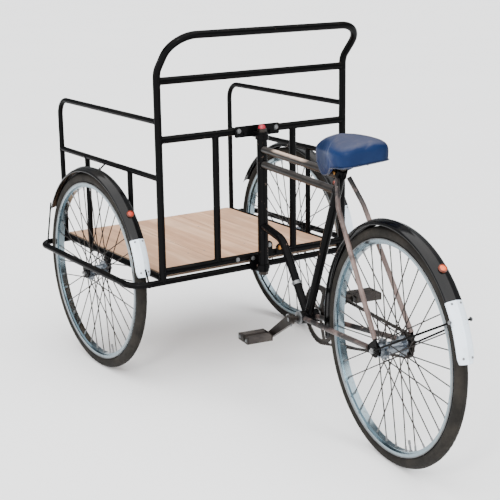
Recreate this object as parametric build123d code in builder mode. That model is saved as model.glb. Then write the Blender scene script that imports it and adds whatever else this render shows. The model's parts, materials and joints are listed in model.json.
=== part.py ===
from build123d import *
import math
import os

os.makedirs("parts", exist_ok=True)

# Front-load cargo tricycle. X points forward, Y to the left, Z up, in millimetres.
# The origin is on the ground under the middle of the whole machine.

# Load bed
bed_length = 760.0
rail_half_width = 491.0
wheel_bay_width = 113.0
base_rail_height = 391.0
side_tube_lift = 13.0
base_tube_radius = 11.0
side_tube_radius = 11.0
base_corner_radius = 60.0
board_thickness = 12.0
board_count = 3
board_seam = 2.0
board_overhang = 8.0
board_side_gap = 2.0
board_rear_gap = 1.5
cross_member_radius = 9.0

# Hoop behind the load
hoop_tube_radius = 12.5
hoop_mid_height = 874.0
hoop_top_height = 1219.0
hoop_bend_share = 0.3536
hoop_lean = 110.0
hoop_corner_share = 0.548
hoop_lean_radius = 60.0
upright_offset = 159.0
upright_radius = 12.0

# Side frames of the bed
side_rail_radius = 9.5
side_top_height = 934.0
side_mid_height = 745.0
side_corner_radius = 60.0
front_side_post_place = 543.0
rear_side_post_place = 211.0

# Wheels
wheel_radius = 356.0
tyre_radius = 19.0
tyre_crown_half_width = 9.0
tyre_wall_radius = 341.0
tyre_foot_half_width = 17.0
rim_outer_radius = 322.0
rim_depth = 18.0
rim_half_width = 16.0
rim_well_depth = 6.0
rim_well_half_width = 9.0
rim_edge_radius = 3.0
bead_gap = 0.2
spoke_radius = 1.8
spoke_pairs = 9
spoke_lean = 55.0
spoke_end_gap = 0.25
spoke_elbow_shift = 2.0
spoke_offset_share = 0.25

# Front hubs, axles and hangers
front_axle_place = 388.0
axle_radius = 5.0
bearing_clearance = 0.05
hole_clearance = 0.1
hub_barrel_radius = 19.0
hub_flange_radius = 31.0
hub_flange_thickness = 3.0
hub_cap_radius = 22.0
hub_cap_length = 12.0
front_flange_setback = 10.0
hub_side_play = 0.3
hanger_thickness = 5.0
hanger_half_width = 24.0
hanger_drop = 22.0
hanger_edge_radius = 12.0
axle_collar_radius = 8.0
axle_collar_length = 4.1
axle_nut_radius = 9.0
axle_nut_thickness = 8.0
axle_end_length = 5.0

# Mudguards
guard_radius = 378.0
guard_half_width = 27.0
guard_sag = 10.0
guard_thickness = 2.0
front_guard_start = 28.0
front_guard_end = 171.0
rear_guard_start = -12.0
rear_guard_end = 170.0
guard_stay_radius = 3.0
stay_end_gap = 0.6
reflector_radius = 13.0
reflector_thickness = 8.0
front_reflector_angle = 137.0
rear_reflector_angle = 129.0
front_stay_angle = 33.0
front_stay_place = 690.0
front_strip_angle = 167.0
crown_angle = 90.0
rear_stay_angle = 152.0

# Steering head
steer_axis_setback = 45.0
steer_rest_angle = 7.5
column_radius = 12.5
head_tube_radius = 18.0
head_plate_half_width = 90.0
head_plate_half_height = 19.0
foot_plate_half_width = 34.0
foot_plate_rise = 44.0
head_plate_thickness = 5.0
head_lug_thickness = 10.0
head_lug_half_width = 20.0
head_play = 0.5
head_cup_radius = 23.0
head_cup_height = 14.0
column_nut_radius = 17.0
column_nut_thickness = 12.0

# Rear frame. Places are distances behind the steering axis and heights above the ground.
rear_wheel_back = 848.0
bracket_back = 328.0
bracket_height = 304.0
bracket_radius = 21.0
bracket_half_width = 34.0
spindle_radius = 8.0
seat_cluster_back = 538.0
seat_cluster_height = 806.0
seat_tube_radius = 14.3
top_tube_radius = 12.5
upper_bar_height = 812.0
lower_bar_height = 760.0
down_tube_radius = 14.0
down_tube_start_height = 545.0
down_tube_bend_back = 150.0
down_tube_bend_height = 525.0
down_tube_bend_radius = 75.0
chain_stay_radius = 8.5
chain_stay_start_offset = 20.0
chain_stay_bend_back = 450.0
chain_stay_bend_offset = 34.0
seat_stay_radius = 7.5
seat_stay_start_offset = 21.0
seat_stay_bend_back = 600.0
seat_stay_bend_height = 730.0
seat_stay_bend_offset = 44.0
stay_bend_radius = 120.0
stay_end_offset = 62.5
dropout_offset = 60.0
dropout_thickness = 5.0
dropout_half_width = 20.0
dropout_reach = 34.0
lug_length = 42.0

# Rear hub and drive
rear_flange_offset = 32.0
rear_hub_half_length = 54.0
chain_line = 45.0
chain_pitch = 12.7
ring_teeth = 48
sprocket_teeth = 18
tooth_height = 3.0
tooth_gullet_radius = 4.0
ring_thickness = 3.0
ring_rim_width = 14.0
ring_arm_count = 5
ring_arm_half_width = 8.0
ring_boss_radius = 24.0
chain_half_height = 4.5
chain_roof = 2.0
chain_tooth_gap = 0.5
ring_chords = 14
sprocket_chords = 8
chain_plate_thickness = 1.6
chain_half_gap = 2.3
crank_length = 170.0
crank_rest_angle = 33.0
crank_offset = 58.0
crank_thickness = 13.0
crank_boss_radius = 17.0
crank_end_radius = 12.0
spindle_end = 3.0

# Pedals
pedal_axle_radius = 5.0
pedal_gap = 7.0
pedal_length = 92.0
pedal_half_depth = 38.0
pedal_block_half_height = 12.0
pedal_block_depth = 26.0
pedal_plate_thickness = 4.0
pedal_barrel_radius = 10.0
pedal_block_radius = 4.0
pedal_axle_cap = 3.0

# Seat post and saddle
seat_post_radius = 11.0
saddle_nose_back = 395.0
saddle_rear_back = 702.0
saddle_half_width = 92.0
saddle_skirt_height = 803.0
saddle_top_height = 946.0
saddle_base_height = 868.0
saddle_recess_gap = 3.0
saddle_edge_share = 0.42
saddle_section_shares = (
    # along the length, half width, lower edge and top between the skirt's edge and the highest point
    (0.0, 0.14, 0.20, 0.58),
    (0.06, 0.22, 0.18, 0.68),
    (0.167, 0.29, 0.0, 0.80),
    (0.333, 0.40, 0.03, 0.91),
    (0.5, 0.60, 0.19, 0.98),
    (0.667, 0.86, 0.33, 1.0),
    (0.833, 1.0, 0.42, 0.98),
    (0.95, 0.90, 0.44, 0.95),
    (1.0, 0.68, 0.48, 0.89),
)
saddle_rail_radius = 4.0
saddle_rail_offset = 22.0
saddle_rail_start = 500.0
saddle_rail_end = 660.0
saddle_clamp_radius = 10.0
saddle_clamp_half_width = 32.0
soft_gap = 0.3

# Small gap between pieces that are welded or clamped together
seat_gap = 0.1
overrun = 30.0

# Derived sizes
steer_rest = math.radians(steer_rest_angle)
bed_half_width = rail_half_width - wheel_bay_width
side_tube_height = base_rail_height + side_tube_lift
hoop_bend_height = hoop_top_height - hoop_bend_share * (hoop_top_height - hoop_mid_height)
hoop_corner_radius = hoop_corner_share * math.hypot(hoop_lean, hoop_top_height - hoop_bend_height)
rail_inner_face = rail_half_width - base_tube_radius
side_outer_face = bed_half_width + side_tube_radius
front_wheel_offset = (rail_inner_face + side_outer_face) / 2
front_hub_space = (rail_inner_face - side_outer_face) / 2 - seat_gap - hanger_thickness - axle_collar_length
front_hub_half_length = front_hub_space - hub_side_play
front_flange_offset = front_hub_half_length - front_flange_setback
guard_end_reach = guard_radius * math.cos(math.radians(180.0 - rear_guard_end))
rear_reach = steer_axis_setback + (rear_wheel_back + guard_end_reach) * math.cos(steer_rest)
rear_reach = rear_reach + guard_half_width * math.sin(steer_rest)
front_reach = bed_length + base_tube_radius
panel_place = (rear_reach - front_reach) / 2
axis_place = panel_place - steer_axis_setback
ring_radius = chain_pitch / 2 / math.sin(math.pi / ring_teeth)
sprocket_radius = chain_pitch / 2 / math.sin(math.pi / sprocket_teeth)
board_base_height = base_rail_height + base_tube_radius
board_top_height = board_base_height + board_thickness
panel_rail_height = board_top_height + hoop_tube_radius

UP = Vector(0, 0, 1)
BACK = Vector(-1, 0, 0)
LEFT = Vector(0, 1, 0)
REAR_BACK = Vector(-math.cos(steer_rest), math.sin(steer_rest), 0)
REAR_LEFT = Vector(math.sin(steer_rest), math.cos(steer_rest), 0)


def bed(forward, left, height):
    """A point of the load bed, measured from the middle of its rear edge."""
    return Vector(panel_place + forward, left, height)


def rear(back, left, height):
    """A point of the rear frame, measured from the steering axis."""
    return Vector(axis_place, 0, 0) + REAR_BACK * back + REAR_LEFT * left + UP * height


def round_tube(points, tube_radius, bends=None, copes=()):
    """A round tube through the points. Each cope is the start, end and radius of a tube it meets."""
    with BuildPart() as tube:
        with BuildLine() as path:
            if bends:
                FilletPolyline(*points, radius=bends)
            else:
                Polyline(*points)
        with BuildSketch(Plane(origin=path.line @ 0, z_dir=path.line % 0)):
            Circle(tube_radius)
        sweep(path=path.line)
        for start, end, radius in copes:
            with BuildSketch(Plane(origin=start, z_dir=end - start)):
                Circle(radius + seat_gap)
            extrude(amount=(end - start).length, mode=Mode.SUBTRACT)
    return tube.part


def section_plane(wheel_plane):
    """The plane through a wheel's axis: local X is the radius and local Y runs along the axle."""
    across = wheel_plane.x_dir.cross(wheel_plane.z_dir)
    return Plane(origin=wheel_plane.origin, x_dir=wheel_plane.x_dir, z_dir=across)


def around(wheel_plane):
    """The axle's axis."""
    return Axis(wheel_plane.origin, wheel_plane.z_dir)


def rim_point(wheel_plane, radius, angle, shift=0.0):
    """A point on a circle about the axle. Zero is forward and ninety degrees is up."""
    turn = math.radians(angle)
    forward = wheel_plane.x_dir * (-radius * math.cos(turn))
    return wheel_plane.origin + forward + wheel_plane.y_dir * (radius * math.sin(turn)) + wheel_plane.z_dir * shift


def save(piece, label):
    """Label one finished piece and write its file."""
    piece.part.label = label
    export_step(piece.part, f"parts/{label}.step")


# Wheel planes: local X points back, local Y up and local Z left along the axle.
front_planes = {
    "left": Plane(origin=bed(front_axle_place, front_wheel_offset, wheel_radius), x_dir=BACK, z_dir=LEFT),
    "right": Plane(origin=bed(front_axle_place, -front_wheel_offset, wheel_radius), x_dir=BACK, z_dir=LEFT),
}
rear_plane = Plane(origin=rear(rear_wheel_back, 0, wheel_radius), x_dir=REAR_BACK, z_dir=REAR_LEFT)


# Base loop: front and rear bars, with an outer rail around each front wheel
bar_end = rail_half_width - base_corner_radius
rear_bar = (bed(0, -rail_half_width, base_rail_height), bed(0, rail_half_width, base_rail_height), base_tube_radius)
front_bar = (bed(bed_length, -rail_half_width, base_rail_height),
             bed(bed_length, rail_half_width, base_rail_height), base_tube_radius)
with BuildPart() as base_bars:
    for forward in (0.0, bed_length):
        add(round_tube([bed(forward, -bar_end, base_rail_height), bed(forward, bar_end, base_rail_height)],
                       base_tube_radius))
save(base_bars, "base_bars")

with BuildPart() as outer_rails:
    for side in (-1, 1):
        corners = [
            bed(0, side * bar_end, base_rail_height),
            bed(0, side * rail_half_width, base_rail_height),
            bed(bed_length, side * rail_half_width, base_rail_height),
            bed(bed_length, side * bar_end, base_rail_height),
        ]
        add(round_tube(corners, base_tube_radius, base_corner_radius - seat_gap))
save(outer_rails, "outer_rails")

# Floor side tubes, between the hoop posts and the front posts
with BuildPart() as floor_side_tubes:
    for side in (-1, 1):
        ends = [bed(0, side * bed_half_width, side_tube_height), bed(bed_length, side * bed_half_width, side_tube_height)]
        copes = []
        for forward, radius in ((0.0, hoop_tube_radius), (bed_length, side_rail_radius)):
            foot = bed(forward, side * bed_half_width, base_rail_height - base_tube_radius)
            head = bed(forward, side * bed_half_width, side_mid_height)
            copes.append((foot, head, radius))
            copes.append((bed(forward, -rail_half_width, base_rail_height),
                          bed(forward, rail_half_width, base_rail_height), base_tube_radius))
        tube = round_tube(ends, side_tube_radius, None, copes)
        add(tube.solids().sort_by(SortBy.VOLUME)[-1])
save(floor_side_tubes, "floor_side_tubes")

# Cross members under the boards
cross_member_height = board_base_height - cross_member_radius
cross_member_places = (front_side_post_place, rear_side_post_place)
with BuildPart() as floor_cross_members:
    for forward in cross_member_places:
        copes = []
        for side in (-1, 1):
            copes.append((bed(0, side * bed_half_width, side_tube_height),
                          bed(bed_length, side * bed_half_width, side_tube_height), side_tube_radius))
        bar = round_tube([bed(forward, -bed_half_width, cross_member_height),
                          bed(forward, bed_half_width, cross_member_height)], cross_member_radius, None, copes)
        add(bar.solids().sort_by(SortBy.VOLUME)[-1])
save(floor_cross_members, "floor_cross_members")

# Floor boards, laid lengthwise from the panel's bottom rail over the cross members and the front bar
board_half_width = bed_half_width - hoop_tube_radius - board_side_gap
board_width = (2 * board_half_width - (board_count - 1) * board_seam) / board_count
board_rear = hoop_tube_radius + board_rear_gap
board_front = bed_length + board_overhang
with BuildPart() as floor_boards:
    with BuildSketch(Plane(origin=bed((board_front + board_rear) / 2, 0, board_base_height + seat_gap))):
        with GridLocations(0, board_width + board_seam, 1, board_count):
            Rectangle(board_front - board_rear, board_width)
    extrude(amount=board_thickness - 2 * seat_gap)
save(floor_boards, "floor_boards")

# Hoop: two posts that lean back at the top and carry the push bar
with BuildPart() as hoop:
    corners = [
        bed(0, bed_half_width, base_rail_height + seat_gap),
        bed(0, bed_half_width, hoop_bend_height),
        bed(-hoop_lean, bed_half_width, hoop_top_height),
        bed(-hoop_lean, -bed_half_width, hoop_top_height),
        bed(0, -bed_half_width, hoop_bend_height),
        bed(0, -bed_half_width, base_rail_height + seat_gap),
    ]
    bends = (hoop_lean_radius, hoop_corner_radius, hoop_corner_radius, hoop_lean_radius)
    add(round_tube(corners, hoop_tube_radius, bends, [rear_bar]))
save(hoop, "hoop")

hoop_posts = []
for side in (-1, 1):
    hoop_posts.append((bed(0, side * bed_half_width, base_rail_height),
                       bed(0, side * bed_half_width, hoop_bend_height), hoop_tube_radius))
with BuildPart() as hoop_bars:
    for height in (hoop_mid_height, hoop_bend_height - hoop_lean_radius / 2):
        bar = round_tube([bed(0, -bed_half_width, height), bed(0, bed_half_width, height)],
                         hoop_tube_radius, None, hoop_posts)
        add(bar.solids().sort_by(SortBy.VOLUME)[-1])
save(hoop_bars, "hoop_bars")

# Rear panel: bottom rail on the boards and two uprights
with BuildPart() as panel_rail:
    bar = round_tube([bed(0, -bed_half_width, panel_rail_height), bed(0, bed_half_width, panel_rail_height)],
                     hoop_tube_radius, None, hoop_posts)
    add(bar.solids().sort_by(SortBy.VOLUME)[-1])
save(panel_rail, "panel_rail")

with BuildPart() as panel_uprights:
    for side in (-1, 1):
        copes = []
        for height in (panel_rail_height, hoop_mid_height):
            copes.append((bed(0, -bed_half_width, height), bed(0, bed_half_width, height), hoop_tube_radius))
        bar = round_tube([bed(0, side * upright_offset, panel_rail_height),
                          bed(0, side * upright_offset, hoop_mid_height)], upright_radius, None, copes)
        add(bar.solids().sort_by(SortBy.VOLUME)[-1])
save(panel_uprights, "panel_uprights")

# Side frames: a front post bent into the top rail, a middle rail and two short posts a side
with BuildPart() as side_top_rails:
    for side in (-1, 1):
        corners = [
            bed(bed_length, side * bed_half_width, base_rail_height),
            bed(bed_length, side * bed_half_width, side_top_height),
            bed(0, side * bed_half_width, side_top_height),
        ]
        bar = round_tube(corners, side_rail_radius, side_corner_radius, [front_bar] + hoop_posts)
        add(bar.solids().sort_by(SortBy.VOLUME)[-1])
save(side_top_rails, "side_top_rails")

with BuildPart() as side_mid_rails:
    for side in (-1, 1):
        front_post = (bed(bed_length, side * bed_half_width, base_rail_height),
                      bed(bed_length, side * bed_half_width, side_top_height), side_rail_radius)
        bar = round_tube([bed(0, side * bed_half_width, side_mid_height),
                          bed(bed_length, side * bed_half_width, side_mid_height)],
                         side_rail_radius, None, [front_post] + hoop_posts)
        add(bar.solids().sort_by(SortBy.VOLUME)[-1])
save(side_mid_rails, "side_mid_rails")

with BuildPart() as side_posts:
    for side in (-1, 1):
        copes = []
        for height, radius in ((side_tube_height, side_tube_radius), (side_mid_height, side_rail_radius)):
            copes.append((bed(0, side * bed_half_width, height), bed(bed_length, side * bed_half_width, height), radius))
        for forward in (front_side_post_place, rear_side_post_place):
            bar = round_tube([bed(forward, side * bed_half_width, side_tube_height),
                              bed(forward, side * bed_half_width, side_mid_height)], side_rail_radius, None, copes)
            add(bar.solids().sort_by(SortBy.VOLUME)[-1])
save(side_posts, "side_posts")

# Axle hangers: an inner plate on the floor side tube and an outer plate on the outer rail
hanger_inner_face = side_outer_face + seat_gap
hanger_outer_face = rail_inner_face - seat_gap
hanger_table = (
    # start of the plate, direction of its thickness, top height
    (hanger_inner_face, 1, side_tube_height),
    (hanger_outer_face, -1, base_rail_height),
)
with BuildPart() as axle_hangers:
    for side in (-1, 1):
        for face, direction, top in hanger_table:
            plate_plane = Plane(origin=bed(front_axle_place, side * face, wheel_radius), x_dir=BACK,
                                z_dir=LEFT * (side * direction))
            corner = hanger_half_width - hanger_edge_radius
            rise = (top - wheel_radius - hanger_edge_radius) * plate_plane.y_dir.Z
            with BuildSketch(plate_plane):
                Circle(hanger_drop)
                with Locations((-corner, rise), (corner, rise)):
                    Circle(hanger_edge_radius)
                make_hull()
                Circle(axle_radius + hole_clearance, mode=Mode.SUBTRACT)
            extrude(amount=hanger_thickness)
save(axle_hangers, "axle_hangers")

# Front axles with their nuts and collars
with BuildPart() as front_axles:
    for side in (-1, 1):
        inner = hanger_inner_face - axle_nut_thickness - axle_end_length
        outer = hanger_outer_face + axle_nut_thickness + axle_end_length
        hub_inner = front_wheel_offset - front_hub_half_length - hub_side_play
        hub_outer = front_wheel_offset + front_hub_half_length + hub_side_play
        axle_table = (
            # start, end, radius
            (inner, outer, axle_radius),
            (hanger_inner_face - seat_gap - axle_nut_thickness, hanger_inner_face - seat_gap, axle_nut_radius),
            (hanger_outer_face + seat_gap, hanger_outer_face + seat_gap + axle_nut_thickness, axle_nut_radius),
            (hanger_inner_face + hanger_thickness + seat_gap, hub_inner, axle_collar_radius),
            (hub_outer, hanger_outer_face - hanger_thickness - seat_gap, axle_collar_radius),
        )
        for start, end, radius in axle_table:
            with BuildSketch(Plane(origin=bed(front_axle_place, side * start, wheel_radius), z_dir=LEFT * side)):
                if radius == axle_nut_radius:
                    RegularPolygon(radius, 6)
                else:
                    Circle(radius)
            extrude(amount=end - start)
save(front_axles, "front_axles")


def build_wheel(name, wheel_plane, flange_offset, hub_half_length):
    """A wheel: a tyre, a rim, and a hub with its spokes."""
    section = section_plane(wheel_plane)
    with BuildPart() as tyre:
        with BuildSketch(section):
            with BuildLine():
                Polyline(
                    (rim_outer_radius + bead_gap, -tyre_foot_half_width),
                    (tyre_wall_radius, -tyre_radius),
                    (wheel_radius, -tyre_crown_half_width),
                    (wheel_radius, tyre_crown_half_width),
                    (tyre_wall_radius, tyre_radius),
                    (rim_outer_radius + bead_gap, tyre_foot_half_width),
                    close=True,
                )
            make_face()
        revolve(axis=around(wheel_plane))
    save(tyre, f"tyre_{name}")

    inner = rim_outer_radius - rim_depth
    with BuildPart() as rim:
        with BuildSketch(section):
            with Locations((rim_outer_radius - rim_depth / 2, 0)):
                RectangleRounded(rim_depth, 2 * rim_half_width, rim_edge_radius)
            for side in (-1, 1):
                with Locations((inner, side * (rim_well_half_width + rim_half_width) / 2)):
                    Rectangle(2 * rim_well_depth, rim_half_width - rim_well_half_width, mode=Mode.SUBTRACT)
        revolve(axis=around(wheel_plane))
    save(rim, f"rim_{name}")

    spoke_ends = []
    hole_radius = hub_flange_radius - hub_flange_thickness
    spoke_top = inner - spoke_end_gap
    for side in (-1, 1):
        for number in range(spoke_pairs):
            start_angle = 360.0 * (number + side * spoke_offset_share) / spoke_pairs
            for lean in (-1, 1):
                shift = side * (flange_offset - lean * spoke_elbow_shift)
                foot = rim_point(wheel_plane, hole_radius, start_angle, shift)
                head = rim_point(wheel_plane, spoke_top, start_angle + lean * spoke_lean, 0)
                spoke_ends.append((foot, head))
    with BuildPart() as hub:
        hub_table = (
            # distance from the middle, radius, length
            (0.0, hub_barrel_radius, 2 * hub_half_length),
            (flange_offset, hub_flange_radius, hub_flange_thickness),
            (-flange_offset, hub_flange_radius, hub_flange_thickness),
            (hub_half_length - hub_cap_length / 2, hub_cap_radius, hub_cap_length),
            (hub_cap_length / 2 - hub_half_length, hub_cap_radius, hub_cap_length),
        )
        with BuildSketch(section):
            for middle, radius, length in hub_table:
                with Locations((radius / 2, middle)):
                    Rectangle(radius, length)
            Rectangle(2 * (axle_radius + bearing_clearance), 2 * hub_half_length + overrun, mode=Mode.SUBTRACT)
        revolve(axis=around(wheel_plane))
        for foot, head in spoke_ends:
            with BuildSketch(Plane(origin=foot, z_dir=head - foot)):
                Circle(spoke_radius)
            extrude(amount=(head - foot).length)
    save(hub, f"hub_{name}")


for name, wheel_plane in front_planes.items():
    build_wheel(f"front_{name}", wheel_plane, front_flange_offset, front_hub_half_length)
build_wheel("rear", rear_plane, rear_flange_offset, rear_hub_half_length)


def guard_plane(wheel_plane, angle):
    """The section plane of a mudguard at one angle about the axle."""
    point = rim_point(wheel_plane, wheel_radius, angle) - wheel_plane.origin
    return Plane(origin=wheel_plane.origin, x_dir=point, z_dir=point.cross(wheel_plane.z_dir))


def guard_solid(wheel_plane, start_angle, end_angle):
    """An arched mudguard between two angles about the axle."""
    with BuildPart() as guard:
        with BuildSketch(guard_plane(wheel_plane, end_angle)):
            with BuildLine():
                edge = guard_radius - guard_sag
                outer = ThreePointArc((edge, -guard_half_width), (guard_radius, 0), (edge, guard_half_width))
                inner = ThreePointArc((edge - guard_thickness, -guard_half_width),
                                      (guard_radius - guard_thickness, 0),
                                      (edge - guard_thickness, guard_half_width))
                Line(outer @ 0, inner @ 0)
                Line(outer @ 1, inner @ 1)
            make_face()
        revolve(axis=around(wheel_plane), revolution_arc=end_angle - start_angle)
    return guard.part


with BuildPart() as front_guards:
    for wheel_plane in front_planes.values():
        add(guard_solid(wheel_plane, front_guard_start, front_guard_end))
save(front_guards, "front_guards")

with BuildPart() as rear_guard:
    add(guard_solid(rear_plane, rear_guard_start, rear_guard_end))
save(rear_guard, "rear_guard")


def rod(start, end, radius):
    """A straight round rod between two points."""
    with BuildPart() as bar:
        with BuildSketch(Plane(origin=start, z_dir=end - start)):
            Circle(radius)
        extrude(amount=(end - start).length)
    return bar.part


def longest(part):
    """The largest solid that is left after a tube's ends are cut to fit."""
    return part.solids().sort_by(SortBy.VOLUME)[-1]


# Front mudguard fixings: a rod to the outer rail, a clip to the middle side rail and a strip to the base bar
guard_edge_radius = guard_radius - guard_sag
with BuildPart() as front_guard_stays:
    for side, name in ((1, "left"), (-1, "right")):
        wheel_plane = front_planes[name]
        edge_shift = side * (guard_half_width + guard_stay_radius + seat_gap)
        outer_rail = (bed(0, side * rail_half_width, base_rail_height),
                      bed(bed_length, side * rail_half_width, base_rail_height), base_tube_radius)
        mid_rail = (bed(0, side * bed_half_width, side_mid_height),
                    bed(bed_length, side * bed_half_width, side_mid_height), side_rail_radius)
        stay_table = (
            # point on the mudguard, point on the tube that carries the stay, that tube
            (rim_point(wheel_plane, guard_edge_radius, front_stay_angle, edge_shift),
             bed(front_stay_place, side * rail_half_width, base_rail_height), outer_rail),
            (rim_point(wheel_plane, guard_edge_radius, crown_angle, -edge_shift),
             bed(front_axle_place, side * bed_half_width, side_mid_height), mid_rail),
            (rim_point(wheel_plane, guard_radius + guard_stay_radius + seat_gap, front_strip_angle),
             bed(0, side * bar_end, base_rail_height), rear_bar),
        )
        for head, foot, carrier in stay_table:
            add(longest(round_tube([foot, head], guard_stay_radius, None, [carrier])))
save(front_guard_stays, "front_guard_stays")


def reflector_on(wheel_plane, angle):
    """A round reflector in its base, standing on a mudguard's crown."""
    foot = rim_point(wheel_plane, guard_radius + seat_gap, angle)
    tip = rim_point(wheel_plane, guard_radius + seat_gap + reflector_thickness, angle)
    return rod(foot, tip, reflector_radius)


with BuildPart() as front_reflectors:
    for wheel_plane in front_planes.values():
        add(reflector_on(wheel_plane, front_reflector_angle))
save(front_reflectors, "front_reflectors")

with BuildPart() as rear_reflector:
    add(reflector_on(rear_plane, rear_reflector_angle))
save(rear_reflector, "rear_reflector")

# Steering head: two brackets on the bed hold an upright column that the rear frame turns on
plate_face = -hoop_tube_radius - seat_gap
lug_face = plate_face - head_plate_thickness
upper_lug_base = hoop_mid_height - hoop_tube_radius
lower_lug_base = base_rail_height - base_tube_radius
head_bottom_height = lower_lug_base + head_lug_thickness + head_play
head_top_height = upper_lug_base - head_play
bracket_table = (
    # label, plate bottom, plate top, plate half width, lug base
    ("head_bracket_upper", hoop_mid_height - head_plate_half_height, hoop_mid_height + head_plate_half_height,
     head_plate_half_width, upper_lug_base),
    ("head_bracket_lower", lower_lug_base, lower_lug_base + head_lug_thickness + foot_plate_rise,
     foot_plate_half_width, lower_lug_base),
)
for label, bottom, top, half_width, lug_base in bracket_table:
    with BuildPart() as head_bracket:
        with BuildSketch(Plane(origin=bed(plate_face, 0, (bottom + top) / 2), x_dir=LEFT, z_dir=BACK)):
            RectangleRounded(2 * half_width, top - bottom, head_lug_thickness / 2)
        extrude(amount=head_plate_thickness)
        with BuildSketch(Plane(origin=bed(0, 0, lug_base))):
            with Locations((lug_face / 2 - steer_axis_setback / 2, 0)):
                Rectangle(steer_axis_setback + lug_face, 2 * head_lug_half_width)
            with Locations((-steer_axis_setback, 0)):
                Circle(head_lug_half_width)
                Circle(column_radius + hole_clearance, mode=Mode.SUBTRACT)
        extrude(amount=head_lug_thickness)
    save(head_bracket, label)

column_low = lower_lug_base - seat_gap - column_nut_thickness
column_high = upper_lug_base + head_lug_thickness + seat_gap + column_nut_thickness
with BuildPart() as steering_column:
    add(rod(rear(0, 0, column_low), rear(0, 0, column_high), column_radius))
    for height in (lower_lug_base - seat_gap - column_nut_thickness, upper_lug_base + head_lug_thickness + seat_gap):
        with BuildSketch(Plane(origin=rear(0, 0, height))):
            RegularPolygon(column_nut_radius, 6)
        extrude(amount=column_nut_thickness)
save(steering_column, "steering_column")

# Rear frame tubes
with BuildPart() as head_tube:
    with BuildSketch(Plane(origin=rear(0, 0, head_bottom_height))):
        Circle(head_tube_radius)
    extrude(amount=head_top_height - head_bottom_height)
    for height in (head_bottom_height, head_top_height - head_cup_height):
        add(rod(rear(0, 0, height), rear(0, 0, height + head_cup_height), head_cup_radius))
    with BuildSketch(Plane(origin=rear(0, 0, head_bottom_height))):
        Circle(column_radius + bearing_clearance)
    extrude(amount=head_top_height - head_bottom_height, mode=Mode.SUBTRACT)
save(head_tube, "head_tube")

head_line = (rear(0, 0, head_bottom_height), rear(0, 0, head_top_height), head_tube_radius)
bracket_line = (rear(bracket_back, -bracket_half_width - overrun, bracket_height),
                rear(bracket_back, bracket_half_width + overrun, bracket_height), bracket_radius)
seat_slope = (seat_cluster_back - bracket_back) / (seat_cluster_height - bracket_height)
seat_top_height = seat_cluster_height + lug_length / 2
seat_top = rear(bracket_back + seat_slope * (seat_top_height - bracket_height), 0, seat_top_height)
seat_foot = rear(bracket_back, 0, bracket_height)
seat_line = (seat_foot, seat_top, seat_tube_radius)

with BuildPart() as bracket_shell:
    with BuildSketch(Plane(origin=rear(bracket_back, -bracket_half_width, bracket_height), z_dir=REAR_LEFT)):
        Circle(bracket_radius)
        Circle(spindle_radius + bearing_clearance, mode=Mode.SUBTRACT)
    extrude(amount=2 * bracket_half_width)
save(bracket_shell, "bracket_shell")


with BuildPart() as seat_tube:
    add(longest(round_tube([seat_foot, seat_top], seat_tube_radius, None, [bracket_line])))
save(seat_tube, "seat_tube")

with BuildPart() as top_tubes:
    for height in (upper_bar_height, lower_bar_height):
        back = bracket_back + seat_slope * (height - bracket_height)
        add(longest(round_tube([rear(0, 0, height), rear(back, 0, height)], top_tube_radius, None,
                               [head_line, seat_line])))
save(top_tubes, "top_tubes")

with BuildPart() as down_tube:
    corners = [
        rear(0, 0, down_tube_start_height),
        rear(down_tube_bend_back, 0, down_tube_bend_height),
        rear(bracket_back, 0, bracket_height),
    ]
    add(longest(round_tube(corners, down_tube_radius, down_tube_bend_radius,
                           [head_line, bracket_line, seat_line])))
save(down_tube, "down_tube")

# Stays run from the bracket shell and the seat cluster to the dropouts
stay_end_back = rear_wheel_back - dropout_reach - stay_end_gap
with BuildPart() as chain_stays:
    for side in (-1, 1):
        bend_height = bracket_height + (wheel_radius - bracket_height) * (
            (chain_stay_bend_back - bracket_back) / (rear_wheel_back - bracket_back))
        corners = [
            rear(bracket_back, side * chain_stay_start_offset, bracket_height),
            rear(chain_stay_bend_back, side * chain_stay_bend_offset, bend_height),
            rear(stay_end_back, side * stay_end_offset, wheel_radius),
        ]
        add(longest(round_tube(corners, chain_stay_radius, stay_bend_radius, [bracket_line])))
save(chain_stays, "chain_stays")

with BuildPart() as seat_stays:
    for side in (-1, 1):
        corners = [
            rear(seat_cluster_back + seat_tube_radius, side * seat_stay_start_offset, seat_cluster_height),
            rear(seat_stay_bend_back, side * seat_stay_bend_offset, seat_stay_bend_height),
            rear(rear_wheel_back, side * stay_end_offset, wheel_radius + dropout_reach + seat_gap),
        ]
        add(longest(round_tube(corners, seat_stay_radius, stay_bend_radius, [seat_line])))
save(seat_stays, "seat_stays")

with BuildPart() as dropouts:
    for side in (-1, 1):
        plate_plane = Plane(origin=rear(rear_wheel_back, side * dropout_offset, wheel_radius),
                            x_dir=REAR_BACK, z_dir=REAR_LEFT * side)
        lift = plate_plane.y_dir.Z
        stay_run = Vector(rear_wheel_back - seat_stay_bend_back, wheel_radius + dropout_reach - seat_stay_bend_height)
        stay_run = stay_run.normalized()
        with BuildSketch(plate_plane):
            with BuildLine():
                Polyline(
                    (-dropout_reach, -chain_stay_radius * lift),
                    (-dropout_reach, chain_stay_radius * lift),
                    (seat_stay_radius * stay_run.Y, (dropout_reach - seat_stay_radius * stay_run.X) * lift),
                    (-seat_stay_radius * stay_run.Y, (dropout_reach + seat_stay_radius * stay_run.X) * lift),
                    (dropout_half_width, 0),
                    (chain_stay_radius, -dropout_half_width * lift),
                    (-chain_stay_radius, -dropout_half_width * lift),
                    close=True,
                )
            make_face()
            Circle(axle_radius + hole_clearance, mode=Mode.SUBTRACT)
        extrude(amount=dropout_thickness)
save(dropouts, "dropouts")

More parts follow.
